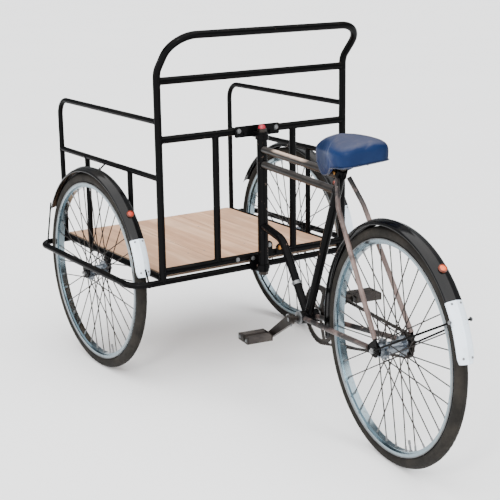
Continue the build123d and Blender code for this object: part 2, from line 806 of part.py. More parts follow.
with BuildPart() as rear_axle:
    nut_face = dropout_offset + dropout_thickness + seat_gap
    hub_face = rear_hub_half_length + hub_side_play
    add(rod(rear(rear_wheel_back, -nut_face - axle_nut_thickness - axle_end_length, wheel_radius),
            rear(rear_wheel_back, nut_face + axle_nut_thickness + axle_end_length, wheel_radius), axle_radius))
    for side in (-1, 1):
        add(rod(rear(rear_wheel_back, side * hub_face, wheel_radius),
                rear(rear_wheel_back, side * (dropout_offset - seat_gap), wheel_radius), axle_collar_radius))
        with BuildSketch(Plane(origin=rear(rear_wheel_back, side * nut_face, wheel_radius), z_dir=REAR_LEFT * side)):
            RegularPolygon(axle_nut_radius, 6)
        extrude(amount=axle_nut_thickness)
save(rear_axle, "rear_axle")

# Rear mudguard stay: a rod on each side from the axle end to the guard's edge
with BuildPart() as rear_guard_stays:
    for side in (-1, 1):
        foot_shift = side * (nut_face + axle_nut_thickness / 2)
        foot = rim_point(rear_plane, axle_nut_radius + guard_stay_radius, rear_stay_angle, foot_shift)
        head = rim_point(rear_plane, guard_edge_radius, rear_stay_angle,
                         side * (guard_half_width + guard_stay_radius + seat_gap))
        add(rod(foot, head, guard_stay_radius))
save(rear_guard_stays, "rear_guard_stays")

# Chainring, sprocket and chain
drive_plane = Plane(origin=rear(bracket_back, -chain_line - ring_thickness / 2, bracket_height),
                    x_dir=REAR_BACK, z_dir=REAR_LEFT)
sprocket_plane = Plane(origin=rear(rear_wheel_back, -chain_line - ring_thickness / 2, wheel_radius),
                       x_dir=REAR_BACK, z_dir=REAR_LEFT)
with BuildPart() as chainring:
    with BuildSketch(drive_plane):
        Circle(ring_radius + tooth_height)
        with PolarLocations(ring_radius + tooth_height, ring_teeth):
            Circle(tooth_gullet_radius, mode=Mode.SUBTRACT)
        Circle(ring_radius - ring_rim_width, mode=Mode.SUBTRACT)
        with PolarLocations(ring_radius / 2, ring_arm_count):
            Rectangle(ring_radius - ring_rim_width / 2, 2 * ring_arm_half_width)
        Circle(ring_boss_radius)
        Circle(spindle_radius + seat_gap, mode=Mode.SUBTRACT)
    extrude(amount=ring_thickness)
save(chainring, "chainring")

with BuildPart() as rear_sprocket:
    with BuildSketch(sprocket_plane):
        Circle(sprocket_radius + tooth_height)
        with PolarLocations(sprocket_radius + tooth_height, sprocket_teeth):
            Circle(tooth_gullet_radius, mode=Mode.SUBTRACT)
        Circle(hub_cap_radius + seat_gap, mode=Mode.SUBTRACT)
    extrude(amount=ring_thickness)
save(rear_sprocket, "rear_sprocket")

wheel_gap = math.hypot(rear_wheel_back - bracket_back, wheel_radius - bracket_height)
line_angle = math.atan2(wheel_radius - bracket_height, rear_wheel_back - bracket_back)
open_angle = math.acos((ring_radius - sprocket_radius) / wheel_gap)


def chain_loop(lift, change, thickness):
    """A plate of the chain's pitch outline grown by the change, in straight stretches around each wheel."""
    wheel_centre = Vector(rear_wheel_back - bracket_back, wheel_radius - bracket_height)
    corners = []
    for centre, radius, start, sweep_angle, chords in (
        # centre, radius, angle where the chain meets the wheel, angle it wraps, straight stretches
        (Vector(0, 0), ring_radius, line_angle + open_angle, math.tau - 2 * open_angle, ring_chords),
        (wheel_centre, sprocket_radius, line_angle - open_angle, 2 * open_angle, sprocket_chords),
    ):
        step = sweep_angle / chords
        reach = (radius + change) / math.cos(step / 2)
        for number in range(chords + 1):
            turn = start + number * step
            length = radius + change if number in (0, chords) else reach
            corners.append(centre + Vector(math.cos(turn), math.sin(turn)) * length)
    base = rear(bracket_back, -chain_line - chain_half_width + lift, bracket_height)
    with BuildPart() as loop:
        with BuildSketch(Plane(origin=base, x_dir=REAR_BACK, z_dir=REAR_LEFT)):
            with BuildLine():
                Polyline(*corners, close=True)
            make_face()
        extrude(amount=thickness)
    return loop.part


chain_half_width = chain_half_gap + chain_plate_thickness
tooth_space = tooth_height + chain_tooth_gap
with BuildPart() as chain:
    add(chain_loop(0, tooth_space + chain_roof, 2 * chain_half_width))
    add(chain_loop(0, -chain_half_height, 2 * chain_half_width), mode=Mode.SUBTRACT)
    add(chain_loop(chain_plate_thickness, tooth_space, 2 * chain_half_gap), mode=Mode.SUBTRACT)
save(chain, "chain")

# Crank spindle and cranks. The left crank points forward and down.
crank_turn = math.radians(crank_rest_angle)
crank_table = (
    # label, side, direction along the crank arm
    ("left", 1, -1),
    ("right", -1, 1),
)
with BuildPart() as crank_spindle:
    reach = crank_offset + crank_thickness + spindle_end
    add(rod(rear(bracket_back, -reach, bracket_height), rear(bracket_back, reach, bracket_height), spindle_radius))
save(crank_spindle, "crank_spindle")

crank_ends = {}
for label, side, way in crank_table:
    crank_ends[label] = (bracket_back + way * crank_length * math.cos(crank_turn),
                         bracket_height + way * crank_length * math.sin(crank_turn))
with BuildPart() as cranks:
    for label, side, way in crank_table:
        arm_plane = Plane(origin=rear(bracket_back, side * crank_offset, bracket_height),
                          x_dir=REAR_BACK * (way * math.cos(crank_turn)) + UP * (way * math.sin(crank_turn)),
                          z_dir=REAR_LEFT * side)
        with BuildSketch(arm_plane):
            Circle(crank_boss_radius)
            with Locations((crank_length, 0)):
                Circle(crank_end_radius)
            make_hull()
            Circle(spindle_radius + seat_gap, mode=Mode.SUBTRACT)
            with Locations((crank_length, 0)):
                Circle(pedal_axle_radius + seat_gap, mode=Mode.SUBTRACT)
        extrude(amount=crank_thickness)
save(cranks, "cranks")

# Pedal axles are part of the crank set; each pedal turns on its own axle
pedal_start = crank_offset + crank_thickness + pedal_gap
with BuildPart() as pedal_axles:
    for label, side, way in crank_table:
        back, height = crank_ends[label]
        axle_end = pedal_start + pedal_length + bearing_clearance + pedal_axle_cap
        add(rod(rear(back, side * crank_offset, height), rear(back, side * axle_end, height), pedal_axle_radius))
        shoulder = crank_offset + crank_thickness + seat_gap
        add(rod(rear(back, side * shoulder, height), rear(back, side * (pedal_start - head_play), height),
                pedal_barrel_radius))
        add(rod(rear(back, side * (pedal_start + pedal_length + head_play), height),
                rear(back, side * (pedal_start + pedal_length + head_play + pedal_axle_cap), height),
                pedal_barrel_radius))
save(pedal_axles, "pedal_axles")

for label, side, way in crank_table:
    back, height = crank_ends[label]
    pedal_plane = Plane(origin=rear(back, side * pedal_start, height), x_dir=REAR_BACK, z_dir=REAR_LEFT * side)
    with BuildPart() as pedal_frame:
        for shift in (0.0, pedal_length - pedal_plate_thickness):
            with BuildSketch(pedal_plane.offset(shift)):
                RectangleRounded(2 * pedal_half_depth, 2 * pedal_block_half_height, pedal_block_radius)
            extrude(amount=pedal_plate_thickness)
        with BuildSketch(pedal_plane):
            Circle(pedal_barrel_radius)
        extrude(amount=pedal_length)
        with BuildSketch(pedal_plane):
            Circle(pedal_axle_radius + bearing_clearance)
        extrude(amount=pedal_length, mode=Mode.SUBTRACT)
    save(pedal_frame, f"pedal_frame_{label}")
    with BuildPart() as pedal_blocks:
        block_middle = pedal_half_depth - pedal_block_depth / 2
        with BuildSketch(pedal_plane.offset(pedal_plate_thickness + seat_gap)):
            with Locations((-block_middle, 0), (block_middle, 0)):
                RectangleRounded(pedal_block_depth - seat_gap, 2 * pedal_block_half_height, pedal_block_radius)
        extrude(amount=pedal_length - 2 * pedal_plate_thickness - 2 * seat_gap)
    save(pedal_blocks, f"pedal_blocks_{label}")

# Seat post, clamped in a collar, with the saddle's clamp and rails on top
rail_height = saddle_base_height - soft_gap - saddle_rail_radius
clamp_height = rail_height - saddle_rail_radius - seat_gap - saddle_clamp_radius
post_lean = Vector(seat_top - seat_foot).normalized()
post_length = (clamp_height - seat_top_height) / post_lean.Z - saddle_clamp_radius - seat_gap
clamp_centre = seat_top + post_lean * (post_length + saddle_clamp_radius + seat_gap)
with BuildPart() as seat_post:
    add(rod(seat_top + post_lean * seat_gap, seat_top + post_lean * post_length, seat_post_radius))
save(seat_post, "seat_post")

with BuildPart() as saddle_clamp:
    add(rod(clamp_centre - REAR_LEFT * saddle_clamp_half_width, clamp_centre + REAR_LEFT * saddle_clamp_half_width,
            saddle_clamp_radius))
save(saddle_clamp, "saddle_clamp")

with BuildPart() as saddle_rails:
    for side in (-1, 1):
        add(rod(rear(saddle_rail_start, side * saddle_rail_offset, rail_height),
                rear(saddle_rail_end, side * saddle_rail_offset, rail_height), saddle_rail_radius))
save(saddle_rails, "saddle_rails")

# Saddle cover: sections from nose to rear, hollowed underneath around the top tube, the clamp and the rails
saddle_length = saddle_rear_back - saddle_nose_back
saddle_rise = saddle_top_height - saddle_skirt_height
recess_table = (
    # start, end, half width, top height
    (saddle_nose_back - overrun, saddle_rail_start, top_tube_radius + saddle_recess_gap,
     upper_bar_height + top_tube_radius + saddle_recess_gap),
    (saddle_rail_start - saddle_recess_gap, saddle_rail_end + saddle_recess_gap,
     saddle_clamp_half_width + saddle_recess_gap, saddle_base_height),
)
with BuildPart() as saddle_cover:
    for along_share, width_share, low_share, high_share in saddle_section_shares:
        half_width = saddle_half_width * width_share
        low = saddle_skirt_height + saddle_rise * low_share
        high = saddle_skirt_height + saddle_rise * high_share
        back = saddle_nose_back + saddle_length * along_share
        with BuildSketch(Plane(origin=rear(back, 0, (low + high) / 2), x_dir=REAR_LEFT, z_dir=REAR_BACK)):
            RectangleRounded(2 * half_width, high - low, saddle_edge_share * min(2 * half_width, high - low))
    loft(ruled=True)
    for start, end, half_width, top in recess_table:
        with BuildSketch(Plane(origin=rear((start + end) / 2, 0, top), x_dir=REAR_BACK, z_dir=-UP)):
            Rectangle(end - start, 2 * half_width)
        extrude(amount=top - saddle_skirt_height + overrun, mode=Mode.SUBTRACT)
save(saddle_cover, "saddle_cover")
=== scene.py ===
import json
import math
import random

import bpy
from mathutils import Matrix, Vector

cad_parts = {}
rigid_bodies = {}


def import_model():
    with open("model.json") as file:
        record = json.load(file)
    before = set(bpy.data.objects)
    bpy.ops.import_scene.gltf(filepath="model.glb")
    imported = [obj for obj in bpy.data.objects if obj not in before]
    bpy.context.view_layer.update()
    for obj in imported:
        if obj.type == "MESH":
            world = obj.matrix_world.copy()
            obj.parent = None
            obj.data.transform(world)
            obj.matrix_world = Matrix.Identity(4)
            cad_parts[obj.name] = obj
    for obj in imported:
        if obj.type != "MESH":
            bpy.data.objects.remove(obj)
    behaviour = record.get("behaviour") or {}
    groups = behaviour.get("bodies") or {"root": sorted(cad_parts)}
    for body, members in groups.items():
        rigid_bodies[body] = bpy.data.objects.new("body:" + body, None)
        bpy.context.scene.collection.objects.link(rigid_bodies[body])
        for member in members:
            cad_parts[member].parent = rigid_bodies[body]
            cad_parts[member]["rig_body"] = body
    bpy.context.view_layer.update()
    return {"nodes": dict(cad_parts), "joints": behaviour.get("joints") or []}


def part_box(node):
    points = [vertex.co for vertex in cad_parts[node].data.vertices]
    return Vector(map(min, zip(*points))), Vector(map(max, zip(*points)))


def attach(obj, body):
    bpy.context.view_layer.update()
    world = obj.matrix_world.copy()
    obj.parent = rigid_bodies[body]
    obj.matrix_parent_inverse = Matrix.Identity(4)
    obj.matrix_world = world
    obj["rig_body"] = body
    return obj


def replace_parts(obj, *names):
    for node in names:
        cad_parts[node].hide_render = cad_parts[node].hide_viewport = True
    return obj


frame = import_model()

# Directions, and places taken from the frame
joints = {joint["name"]: joint for joint in frame["joints"]}
SIDES = (("left", 1), ("right", -1))
UP = Vector((0, 0, 1))
FORWARD = Vector((1, 0, 0))
LEFT = Vector((0, 1, 0))


def joint_place(name):
    """Where a joint's axis passes, and the axis."""
    return Vector(joints[name]["pos_m"]), Vector(joints[name]["axis"]).normalized()


WHEELS = {name: joint_place(f"{name}_wheel_spin") for name in ("front_left", "front_right", "rear")}
REAR_CENTRE, REAR_LEFT = WHEELS["rear"]
REAR_BACK = UP.cross(REAR_LEFT)
HEAD_PLACE = joint_place("steering")[0]
tyre_low, tyre_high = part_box("tyre_front_left")
wheel_radius = (tyre_high.z - tyre_low.z) / 2
tyre_half_width = (tyre_high.y - tyre_low.y) / 2
rim_low, rim_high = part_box("rim_front_left")
rim_radius = (rim_high.z - rim_low.z) / 2
rim_half_width = (rim_high.y - rim_low.y) / 2
rail_low, rail_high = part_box("panel_rail")
panel_place = (rail_low.x + rail_high.x) / 2
panel_rail_height = (rail_low.z + rail_high.z) / 2
hoop_radius = (rail_high.z - rail_low.z) / 2
bed_half_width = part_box("hoop")[1].y - hoop_radius
boards_low, boards_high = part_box("floor_boards")

# Sizes that repeat the part's own, in metres, and counts of teeth
base_rail_height, base_rail_radius, bed_length = 0.391, 0.011, 0.760
rail_half_width, base_corner_radius = 0.491, 0.060
side_tube_height, side_rail_radius = 0.404, 0.0095
hoop_mid_height, hoop_bend_bar_height = 0.874, 1.067
side_top_height, side_mid_height = 0.934, 0.745
side_post_places = (0.543, 0.211)
upright_offset, upright_radius = 0.159, 0.012
guard_radius, guard_half_width, guard_sag = 0.378, 0.027, 0.010
bracket_back, bracket_height, bracket_radius, bracket_half_width = 0.328, 0.304, 0.021, 0.034
rear_wheel_back, axle_height, rim_depth = 0.848, 0.356, 0.018
seat_cluster_back, seat_cluster_height, seat_tube_radius, seat_tube_top = 0.538, 0.806, 0.0143, 0.827
upper_bar_height, lower_bar_height, top_tube_radius = 0.812, 0.760, 0.0125
head_tube_radius, down_tube_radius, chain_stay_radius = 0.018, 0.014, 0.0085
down_tube_top, down_bend_back, down_bend_height = 0.545, 0.150, 0.525
chain_line, chain_pitch, ring_teeth, sprocket_teeth = 0.045, 0.0127, 48, 18

# Seeds keep every run alike
dice = random.Random(7)


def polar(centre, axis, radius, angle, shift=0.0):
    """A point around an axis that runs left. Zero degrees is forward and ninety is up."""
    turn = math.radians(angle)
    ahead = axis.cross(UP)
    return centre + ahead * (radius * math.cos(turn)) + UP * (radius * math.sin(turn)) + axis * shift


def rear_point(back, left, height):
    """A point of the rear frame, measured from the steering axis."""
    foot = Vector((HEAD_PLACE.x, HEAD_PLACE.y, 0))
    return foot + REAR_BACK * back + REAR_LEFT * left + UP * height


def bed_point(forward, left, height):
    """A point of the load bed, measured from the middle of its rear edge."""
    return Vector((panel_place + forward, left, height))


def circle(centre, across, over, radius, count):
    """Points around a centre, from the direction across towards the direction over."""
    points = []
    for step in range(count):
        turn = math.tau * step / count
        points.append(centre + (across * math.cos(turn) + over * math.sin(turn)) * radius)
    return points


def square_to(axis):
    """An axis of length one, and two directions square to it."""
    axis = axis.normalized()
    across = axis.orthogonal().normalized()
    return axis, across, axis.cross(across)


BRACKET = rear_point(bracket_back, 0, bracket_height)
SEAT_RUN = rear_point(seat_cluster_back, 0, seat_cluster_height) - BRACKET
DOWN_BEND = rear_point(down_bend_back, 0, down_bend_height)


class Paint:
    """A procedural material in the making."""

    def __init__(self, name, roughness, metallic=0.0, specular=0.5):
        self.material = bpy.data.materials.new(name)
        self.material.use_nodes = True
        self.tree = self.material.node_tree
        self.shader = self.tree.nodes["Principled BSDF"]
        self.give("Roughness", roughness)
        self.give("Metallic", metallic)
        self.give("Specular IOR Level", specular)
        texture = self.tree.nodes.new("ShaderNodeTexCoord")
        self.place, self.normal = texture.outputs["Object"], texture.outputs["Normal"]

    def fill(self, socket, value):
        """Give a socket a number, a colour, a direction or another node's output."""
        if isinstance(value, bpy.types.NodeSocket):
            self.tree.links.new(value, socket)
        elif socket.type == "RGBA":
            socket.default_value = (*value, 1.0)
        else:
            socket.default_value = value

    def give(self, name, value):
        """Fill one of the shader's own sockets."""
        self.fill(self.shader.inputs[name], value)

    def node(self, kind, values, output, **settings):
        """An output of a new node, whose inputs are filled from a table."""
        made = self.tree.nodes.new(kind)
        for name, value in settings.items():
            setattr(made, name, value)
        for name, value in values.items():
            self.fill(made.inputs[name], value)
        return made.outputs[output]

    def stretched(self, scale):
        """The place, scaled differently along each axis."""
        return self.node("ShaderNodeMapping", {"Vector": self.place, "Scale": scale}, "Vector")

    def noise(self, scale, detail=4.0, rough=0.55, place=None, twist=0.0):
        """Cloudy noise from 0 to 1."""
        values = {"Vector": place or self.place, "Scale": scale, "Detail": detail, "Roughness": rough,
                  "Distortion": twist}
        return self.node("ShaderNodeTexNoise", values, "Fac")

    def cells(self, scale):
        """The distance from the middle of small cells."""
        return self.node("ShaderNodeTexVoronoi", {"Vector": self.place, "Scale": scale}, "Distance")

    def span(self, value, low, high, to_low=0.0, to_high=1.0):
        """The value brought from one range to another, and held inside it."""
        values = {"Value": value, "From Min": low, "From Max": high, "To Min": to_low, "To Max": to_high}
        return self.node("ShaderNodeMapRange", values, "Result")

    def maths(self, kind, first, second):
        """Two numbers or outputs added, multiplied or the like."""
        return self.node("ShaderNodeMath", {0: first, 1: second}, "Value", operation=kind)

    def times(self, first, second):
        """The product of two outputs."""
        return self.maths("MULTIPLY", first, second)

    def plus(self, first, second):
        """The sum of two outputs."""
        return self.maths("ADD", first, second)

    def vectors(self, kind, first, second, output="Vector"):
        """Two directions subtracted, multiplied or the like."""
        return self.node("ShaderNodeVectorMath", {0: first, 1: second}, output, operation=kind)

    def mix(self, share, first, second):
        """A colour between two others. Each is a colour or an output."""
        return self.node("ShaderNodeMix", {"Factor": share, 6: first, 7: second}, 2, data_type="RGBA")

    def upright_part(self, source):
        """The upward part of a place or a normal."""
        return self.node("ShaderNodeSeparateXYZ", {"Vector": source}, "Z")

    def along(self, direction, start):
        """How far the place lies from a start along a direction."""
        return self.vectors("DOT_PRODUCT", self.vectors("SUBTRACT", self.place, start), direction, "Value")

    def upward(self, low, high):
        """One where the surface faces up, zero at its sides."""
        return self.span(self.upright_part(self.normal), low, high)

    def bump(self, height, strength, depth):
        """Fine relief from an output."""
        values = {"Height": height, "Strength": strength, "Distance": depth}
        self.give("Normal", self.node("ShaderNodeBump", values, "Normal"))

    def coat(self, weight, roughness):
        """A clear gloss on top."""
        self.give("Coat Weight", weight)
        self.give("Coat Roughness", roughness)


def scaled(colour, share):
    """A colour made darker or lighter."""
    return tuple(share * part for part in colour)


def enamel(name, wear, primer, coat_share=0.06):
    """Black enamel with dust on top, and primer or rust where it is rubbed through."""
    paint = Paint(name, 0.3, specular=0.015)
    black, dust_colour = (0.0022, 0.0022, 0.0024), (0.012, 0.0105, 0.009)
    dust = paint.span(paint.noise(9.0, 6.0), 0.45, 0.8)
    dusty = paint.times(dust, paint.upward(0.2, 1.0))
    chips = paint.span(paint.noise(60.0, 8.0, 0.65), wear, wear + 0.03)
    patches = paint.span(paint.noise(7.0, 3.0), 0.42, 0.6)
    rubbed = paint.times(chips, patches)
    paint.give("Base Color", paint.mix(rubbed, paint.mix(dusty, black, dust_colour), primer))
    paint.give("Roughness", paint.span(paint.plus(dusty, rubbed), 0.0, 1.0, 0.24, 0.6))
    paint.bump(paint.maths("SUBTRACT", paint.noise(220.0, 2.0), rubbed), 0.25, 0.0004)
    paint.coat(coat_share, 0.14)
    return paint.material


def plywood():
    """Bare plywood: a pinkish face veneer with stretched grain, stains and scuffs, and dark edge plies."""
    paint = Paint("plywood", 0.62, specular=0.3)
    grain = paint.noise(6.0, 8.0, 0.62, paint.stretched((1.2, 22.0, 3.0)), 1.4)
    fibres = paint.noise(30.0, 6.0, 0.7, paint.stretched((1.0, 26.0, 4.0)))
    board = paint.noise(1.4, 1.0, 0.4, paint.stretched((0.4, 3.0, 1.0)))
    streaks = paint.noise(1.0, 3.0, 0.5, paint.stretched((1.6, 26.0, 1.0)), 0.6)
    veneer = paint.mix(paint.span(grain, 0.3, 0.7), (0.36, 0.177, 0.096), (0.55, 0.328, 0.196))
    layers = (
        # where it lies, the range of that noise, its greatest share and its colour
        (fibres, 0.52, 0.72, 0.5, (0.25, 0.135, 0.085)),
        (board, 0.35, 0.65, 0.45, (0.59, 0.375, 0.241)),
        (streaks, 0.52, 0.66, 0.7, (0.65, 0.432, 0.291)),
        (streaks, 0.46, 0.34, 0.5, (0.29, 0.165, 0.11)),
        (paint.noise(5.0, 4.0, 0.6), 0.55, 0.75, 0.45, (0.28, 0.185, 0.14)),
    )
    for layer, low, high, share, colour in layers:
        veneer = paint.mix(paint.span(layer, low, high, 0.0, share), veneer, colour)
    values = {"Vector": paint.place, "Scale": 75.0, "Distortion": 1.5}
    plies = paint.node("ShaderNodeTexWave", values, "Fac", bands_direction="Z")
    edge = paint.mix(plies, (0.16, 0.095, 0.06), (0.34, 0.24, 0.17))
    paint.give("Base Color", paint.mix(paint.upward(0.3, 0.6), edge, veneer))
    paint.bump(paint.plus(grain, fibres), 0.35, 0.0006)
    return paint.material


def rubber(name, base, dust_colour, dust_share):
    """Matt rubber with dust caught in its grain."""
    paint = Paint(name, 0.8, specular=0.14)
    grain = paint.noise(120.0, 4.0)
    dust = paint.span(paint.noise(14.0, 6.0, 0.65), 0.4, 0.8, 0.0, dust_share)
    paint.give("Base Color", paint.mix(dust, paint.mix(grain, base, scaled(base, 1.8)), dust_colour))
    paint.give("Roughness", paint.span(grain, 0.3, 0.7, 0.7, 0.9))
    paint.bump(grain, 0.4, 0.0004)
    return paint.material


def plated(name, base, roughness, tarnish, tarnish_share):
    """Plated or bare steel with clouded patches, fine scratches and tarnish in spots."""
    paint = Paint(name, roughness, metallic=1.0)
    clouds = paint.noise(18.0, 5.0)
    spots = paint.span(paint.noise(52.0, 6.0, 0.62), 0.56, 0.72, 0.0, tarnish_share)
    paint.give("Base Color", paint.mix(spots, paint.mix(clouds, scaled(base, 0.6), base), tarnish))
    paint.give("Roughness", paint.span(clouds, 0.3, 0.7, roughness, roughness + 0.18))
    paint.bump(paint.noise(260.0, 3.0, 0.5, paint.stretched((1.0, 1.0, 6.0))), 0.12, 0.0003)
    return paint.material


def vinyl():
    """Blue vinyl: pressed grain, a top that is paler from fading and rubbing and from a painted sheen, and
    painted shade at the nose, the rear and the right.
    """
    paint = Paint("saddle_vinyl", 0.34, specular=0.012)
    back = paint.along(REAR_BACK, rear_point(0, 0, 0))
    right = paint.along(-REAR_LEFT, rear_point(0, 0, 0))
    cloud = paint.noise(16.0, 4.0)
    rubbed = paint.span(paint.noise(38.0, 5.0, 0.65), 0.5, 0.75, 0.0, 0.5)
    # Painted shade: darker towards the nose, the rear and the right side
    shaded = paint.plus(paint.span(back, 0.62, 0.70, 0.0, 0.45), paint.span(back, 0.58, 0.48, 0.0, 0.65))
    shaded = paint.plus(shaded, paint.span(right, 0.04, 0.085, 0.0, 0.45))
    blue = paint.mix(cloud, (0.0055, 0.0155, 0.056), (0.0150, 0.037, 0.112))
    blue = paint.mix(shaded, blue, (0.0018, 0.0055, 0.020))
    # Paler top: partly fading and rubbing, partly a painted sheen
    faded_top_and_sheen = paint.mix(cloud, (0.028, 0.036, 0.066), (0.058, 0.063, 0.098))
    faded_top_and_sheen = paint.mix(rubbed, faded_top_and_sheen, (0.085, 0.078, 0.098))
    paint.give("Base Color", paint.mix(paint.upward(0.45, 0.85), blue, faded_top_and_sheen))
    paint.give("Roughness", paint.span(cloud, 0.3, 0.7, 0.3, 0.5))
    paint.bump(paint.plus(paint.cells(420.0), paint.noise(60.0, 5.0, 0.6)), 0.25, 0.0006)
    paint.coat(0.09, 0.28)
    return paint.material


def white_paint():
    """Bluish white gloss paint with grime and small chips."""
    paint = Paint("white_paint", 0.35)
    grime = paint.span(paint.noise(22.0, 6.0, 0.65), 0.52, 0.8, 0.0, 0.45)
    chips = paint.span(paint.noise(140.0, 4.0), 0.68, 0.72)
    base = paint.mix(grime, (0.74, 0.83, 0.92), (0.50, 0.49, 0.47))
    paint.give("Base Color", paint.mix(chips, base, (0.10, 0.09, 0.08)))
    paint.bump(paint.noise(150.0, 3.0), 0.2, 0.0004)
    return paint.material


def lens(name, base):
    """A moulded reflector lens: small cells under a smooth face."""
    paint = Paint(name, 0.3, specular=0.3)
    cells = paint.cells(480.0)
    paint.give("Base Color", paint.mix(paint.span(cells, 0.1, 0.7), base, scaled(base, 1.6)))
    paint.bump(cells, 0.5, 0.0006)
    paint.coat(0.15, 0.1)
    return paint.material


def pinkish_brown():
    """Pinkish brown on the stays, with dark stains, darker patches low down and high up near the bracket and
    the seat, and scuffs.
    """
    paint = Paint("pinkish_brown", 0.5, specular=0.35)
    clouds = paint.noise(11.0, 5.0, 0.6)
    stains = paint.span(paint.noise(26.0, 6.0, 0.65), 0.55, 0.7, 0.0, 0.85)
    scuffs = paint.span(paint.noise(90.0, 5.0, 0.6), 0.64, 0.7, 0.0, 0.6)
    height = paint.upright_part(paint.place)
    # Darker patches low down and high up, near the bracket and under the seat
    darker_low_and_high = paint.plus(paint.span(height, 0.40, 0.34), paint.span(height, 0.66, 0.76))
    darker_low_and_high = paint.times(darker_low_and_high, paint.span(paint.noise(19.0, 4.0), 0.3, 0.5))
    base = paint.mix(paint.span(clouds, 0.35, 0.65), (0.085, 0.055, 0.048), (0.185, 0.132, 0.118))
    for share, colour in ((stains, (0.016, 0.012, 0.011)), (darker_low_and_high, (0.008, 0.007, 0.007)),
                          (scuffs, (0.30, 0.26, 0.235))):
        base = paint.mix(share, base, colour)
    paint.give("Base Color", base)
    paint.give("Roughness", paint.span(clouds, 0.3, 0.7, 0.38, 0.6))
    paint.bump(paint.plus(stains, scuffs), 0.3, 0.0004)
    return paint.material


def dust_and_highlight_black():
    """Black tubes with dull tops that are partly dust and partly a painted grey highlight. The upper one has
    a painted pinkish tan highlight in its middle.
    """
    paint = Paint("dust_and_highlight_black", 0.42, specular=0.2)
    # Dust on the tops, which also serves as a painted grey highlight
    upward = paint.upward(0.35, 0.8)
    patches = paint.span(paint.noise(13.0, 5.0, 0.6), 0.30, 0.50)
    dusty = paint.times(upward, patches)
    back = paint.along(REAR_BACK, rear_point(0, 0, 0))
    # Painted pinkish tan highlight on the upper tube's top, in the middle of its run
    middle = paint.times(paint.span(back, 0.08, 0.11), paint.span(back, 0.34, 0.30))
    upper = paint.span(paint.upright_part(paint.place), 0.785, 0.795)
    rubbed = paint.times(dusty, paint.times(middle, upper))
    base = paint.mix(paint.noise(40.0, 4.0), (0.005, 0.0045, 0.004), (0.014, 0.012, 0.011))
    # Colours of the dusty painted grey highlight and of the painted tan highlight
    base = paint.mix(dusty, base, (0.046, 0.041, 0.038))
    paint.give("Base Color", paint.mix(rubbed, base, (0.44, 0.335, 0.27)))
    paint.give("Roughness", paint.span(rubbed, 0.0, 1.0, 0.3, 0.6))
    paint.bump(paint.noise(160.0, 4.0), 0.25, 0.0004)
    return paint.material


def hub_paint(name, centre, axis):
    """Chromed hub shell in the middle and dull dark spokes further out."""
    paint = Paint(f"hub_steel_{name}", 0.28, metallic=1.0)
    shell_radius, spoke_radius = 0.0315, 0.034
    around = paint.vectors("CROSS_PRODUCT", paint.vectors("SUBTRACT", paint.place, centre), axis)
    from_axis = paint.node("ShaderNodeVectorMath", {0: around}, "Value", operation="LENGTH")
    spoke = paint.span(from_axis, shell_radius, spoke_radius)
    clouds = paint.noise(34.0, 5.0)
    shell = paint.mix(clouds, (0.065, 0.074, 0.087), (0.27, 0.30, 0.335))
    dull = paint.mix(clouds, (0.014, 0.012, 0.011), (0.052, 0.046, 0.043))
    paint.give("Base Color", paint.mix(spoke, shell, dull))
    paint.give("Roughness", paint.plus(paint.span(clouds, 0.3, 0.7, 0.22, 0.38), paint.times(spoke, 0.18)))
    paint.bump(paint.noise(240.0, 3.0), 0.15, 0.0003)
    return paint.material


def gloss(name, base, roughness):
    """Small painted or moulded part with grime."""
    paint = Paint(name, roughness)
    grime = paint.span(paint.noise(120.0, 5.0), 0.5, 0.7, 0.0, 0.6)
    paint.give("Base Color", paint.mix(grime, base, scaled(base, 0.25)))
    paint.bump(grime, 0.3, 0.0003)
    return paint.material


BLACK = enamel("black_enamel", 0.67, (0.07, 0.042, 0.03))
REAR_BLACK = enamel("rear_frame_enamel", 0.62, (0.11, 0.075, 0.06))
GUARD_BLACK = enamel("guard_enamel", 0.68, (0.06, 0.04, 0.03), 0.45)
PINKISH_BROWN = pinkish_brown()
DUST_AND_HIGHLIGHT_BLACK = dust_and_highlight_black()
RED_PAINT = gloss("red_cap_paint", (0.30, 0.012, 0.026), 0.35)
LENS_RIM = gloss("lens_rim", (0.11, 0.022, 0.010), 0.4)
VINYL_EDGE = gloss("saddle_edge_vinyl", (0.005, 0.013, 0.042), 0.4)
BRASS = plated("brass", (0.50, 0.24, 0.07), 0.35, (0.2, 0.09, 0.03), 0.5)
PLYWOOD = plywood()
TYRE = rubber("tyre_rubber", (0.0065, 0.0058, 0.0050), (0.043, 0.037, 0.030), 0.5)
PEDAL = rubber("pedal_rubber", (0.022, 0.019, 0.018), (0.105, 0.093, 0.084), 0.6)
RIM = plated("rim_steel", (0.27, 0.345, 0.385), 0.13, (0.10, 0.07, 0.05), 0.4)
GALVANISED = plated("galvanised_steel", (0.22, 0.225, 0.23), 0.38, (0.09, 0.065, 0.05), 0.5)
BRIGHT = plated("bright_steel", (0.40, 0.41, 0.42), 0.22, (0.12, 0.08, 0.05), 0.4)
OILY = plated("oily_steel", (0.045, 0.039, 0.035), 0.36, (0.016, 0.011, 0.008), 0.7)
VINYL = vinyl()
WHITE = white_paint()
RED_LENS = lens("red_lens", (0.33, 0.028, 0.014))
ORANGE_LENS = lens("orange_lens", (0.52, 0.085, 0.025))


def piece(name, body, materials, points, faces, kinds, sharp):
    """A mesh piece that rides on a body. Kinds gives each face's place in the list of materials."""
    mesh = bpy.data.meshes.new(name)
    mesh.from_pydata([tuple(point) for point in points], [], faces)
    for material in materials:
        mesh.materials.append(material)
    mesh.polygons.foreach_set("use_smooth", [True] * len(faces))
    mesh.polygons.foreach_set("material_index", kinds)
    mesh.update()
    mesh.set_sharp_from_angle(angle=math.radians(sharp))
    made = bpy.data.objects.new(name, mesh)
    bpy.context.scene.collection.objects.link(made)
    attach(made, body)
    return made


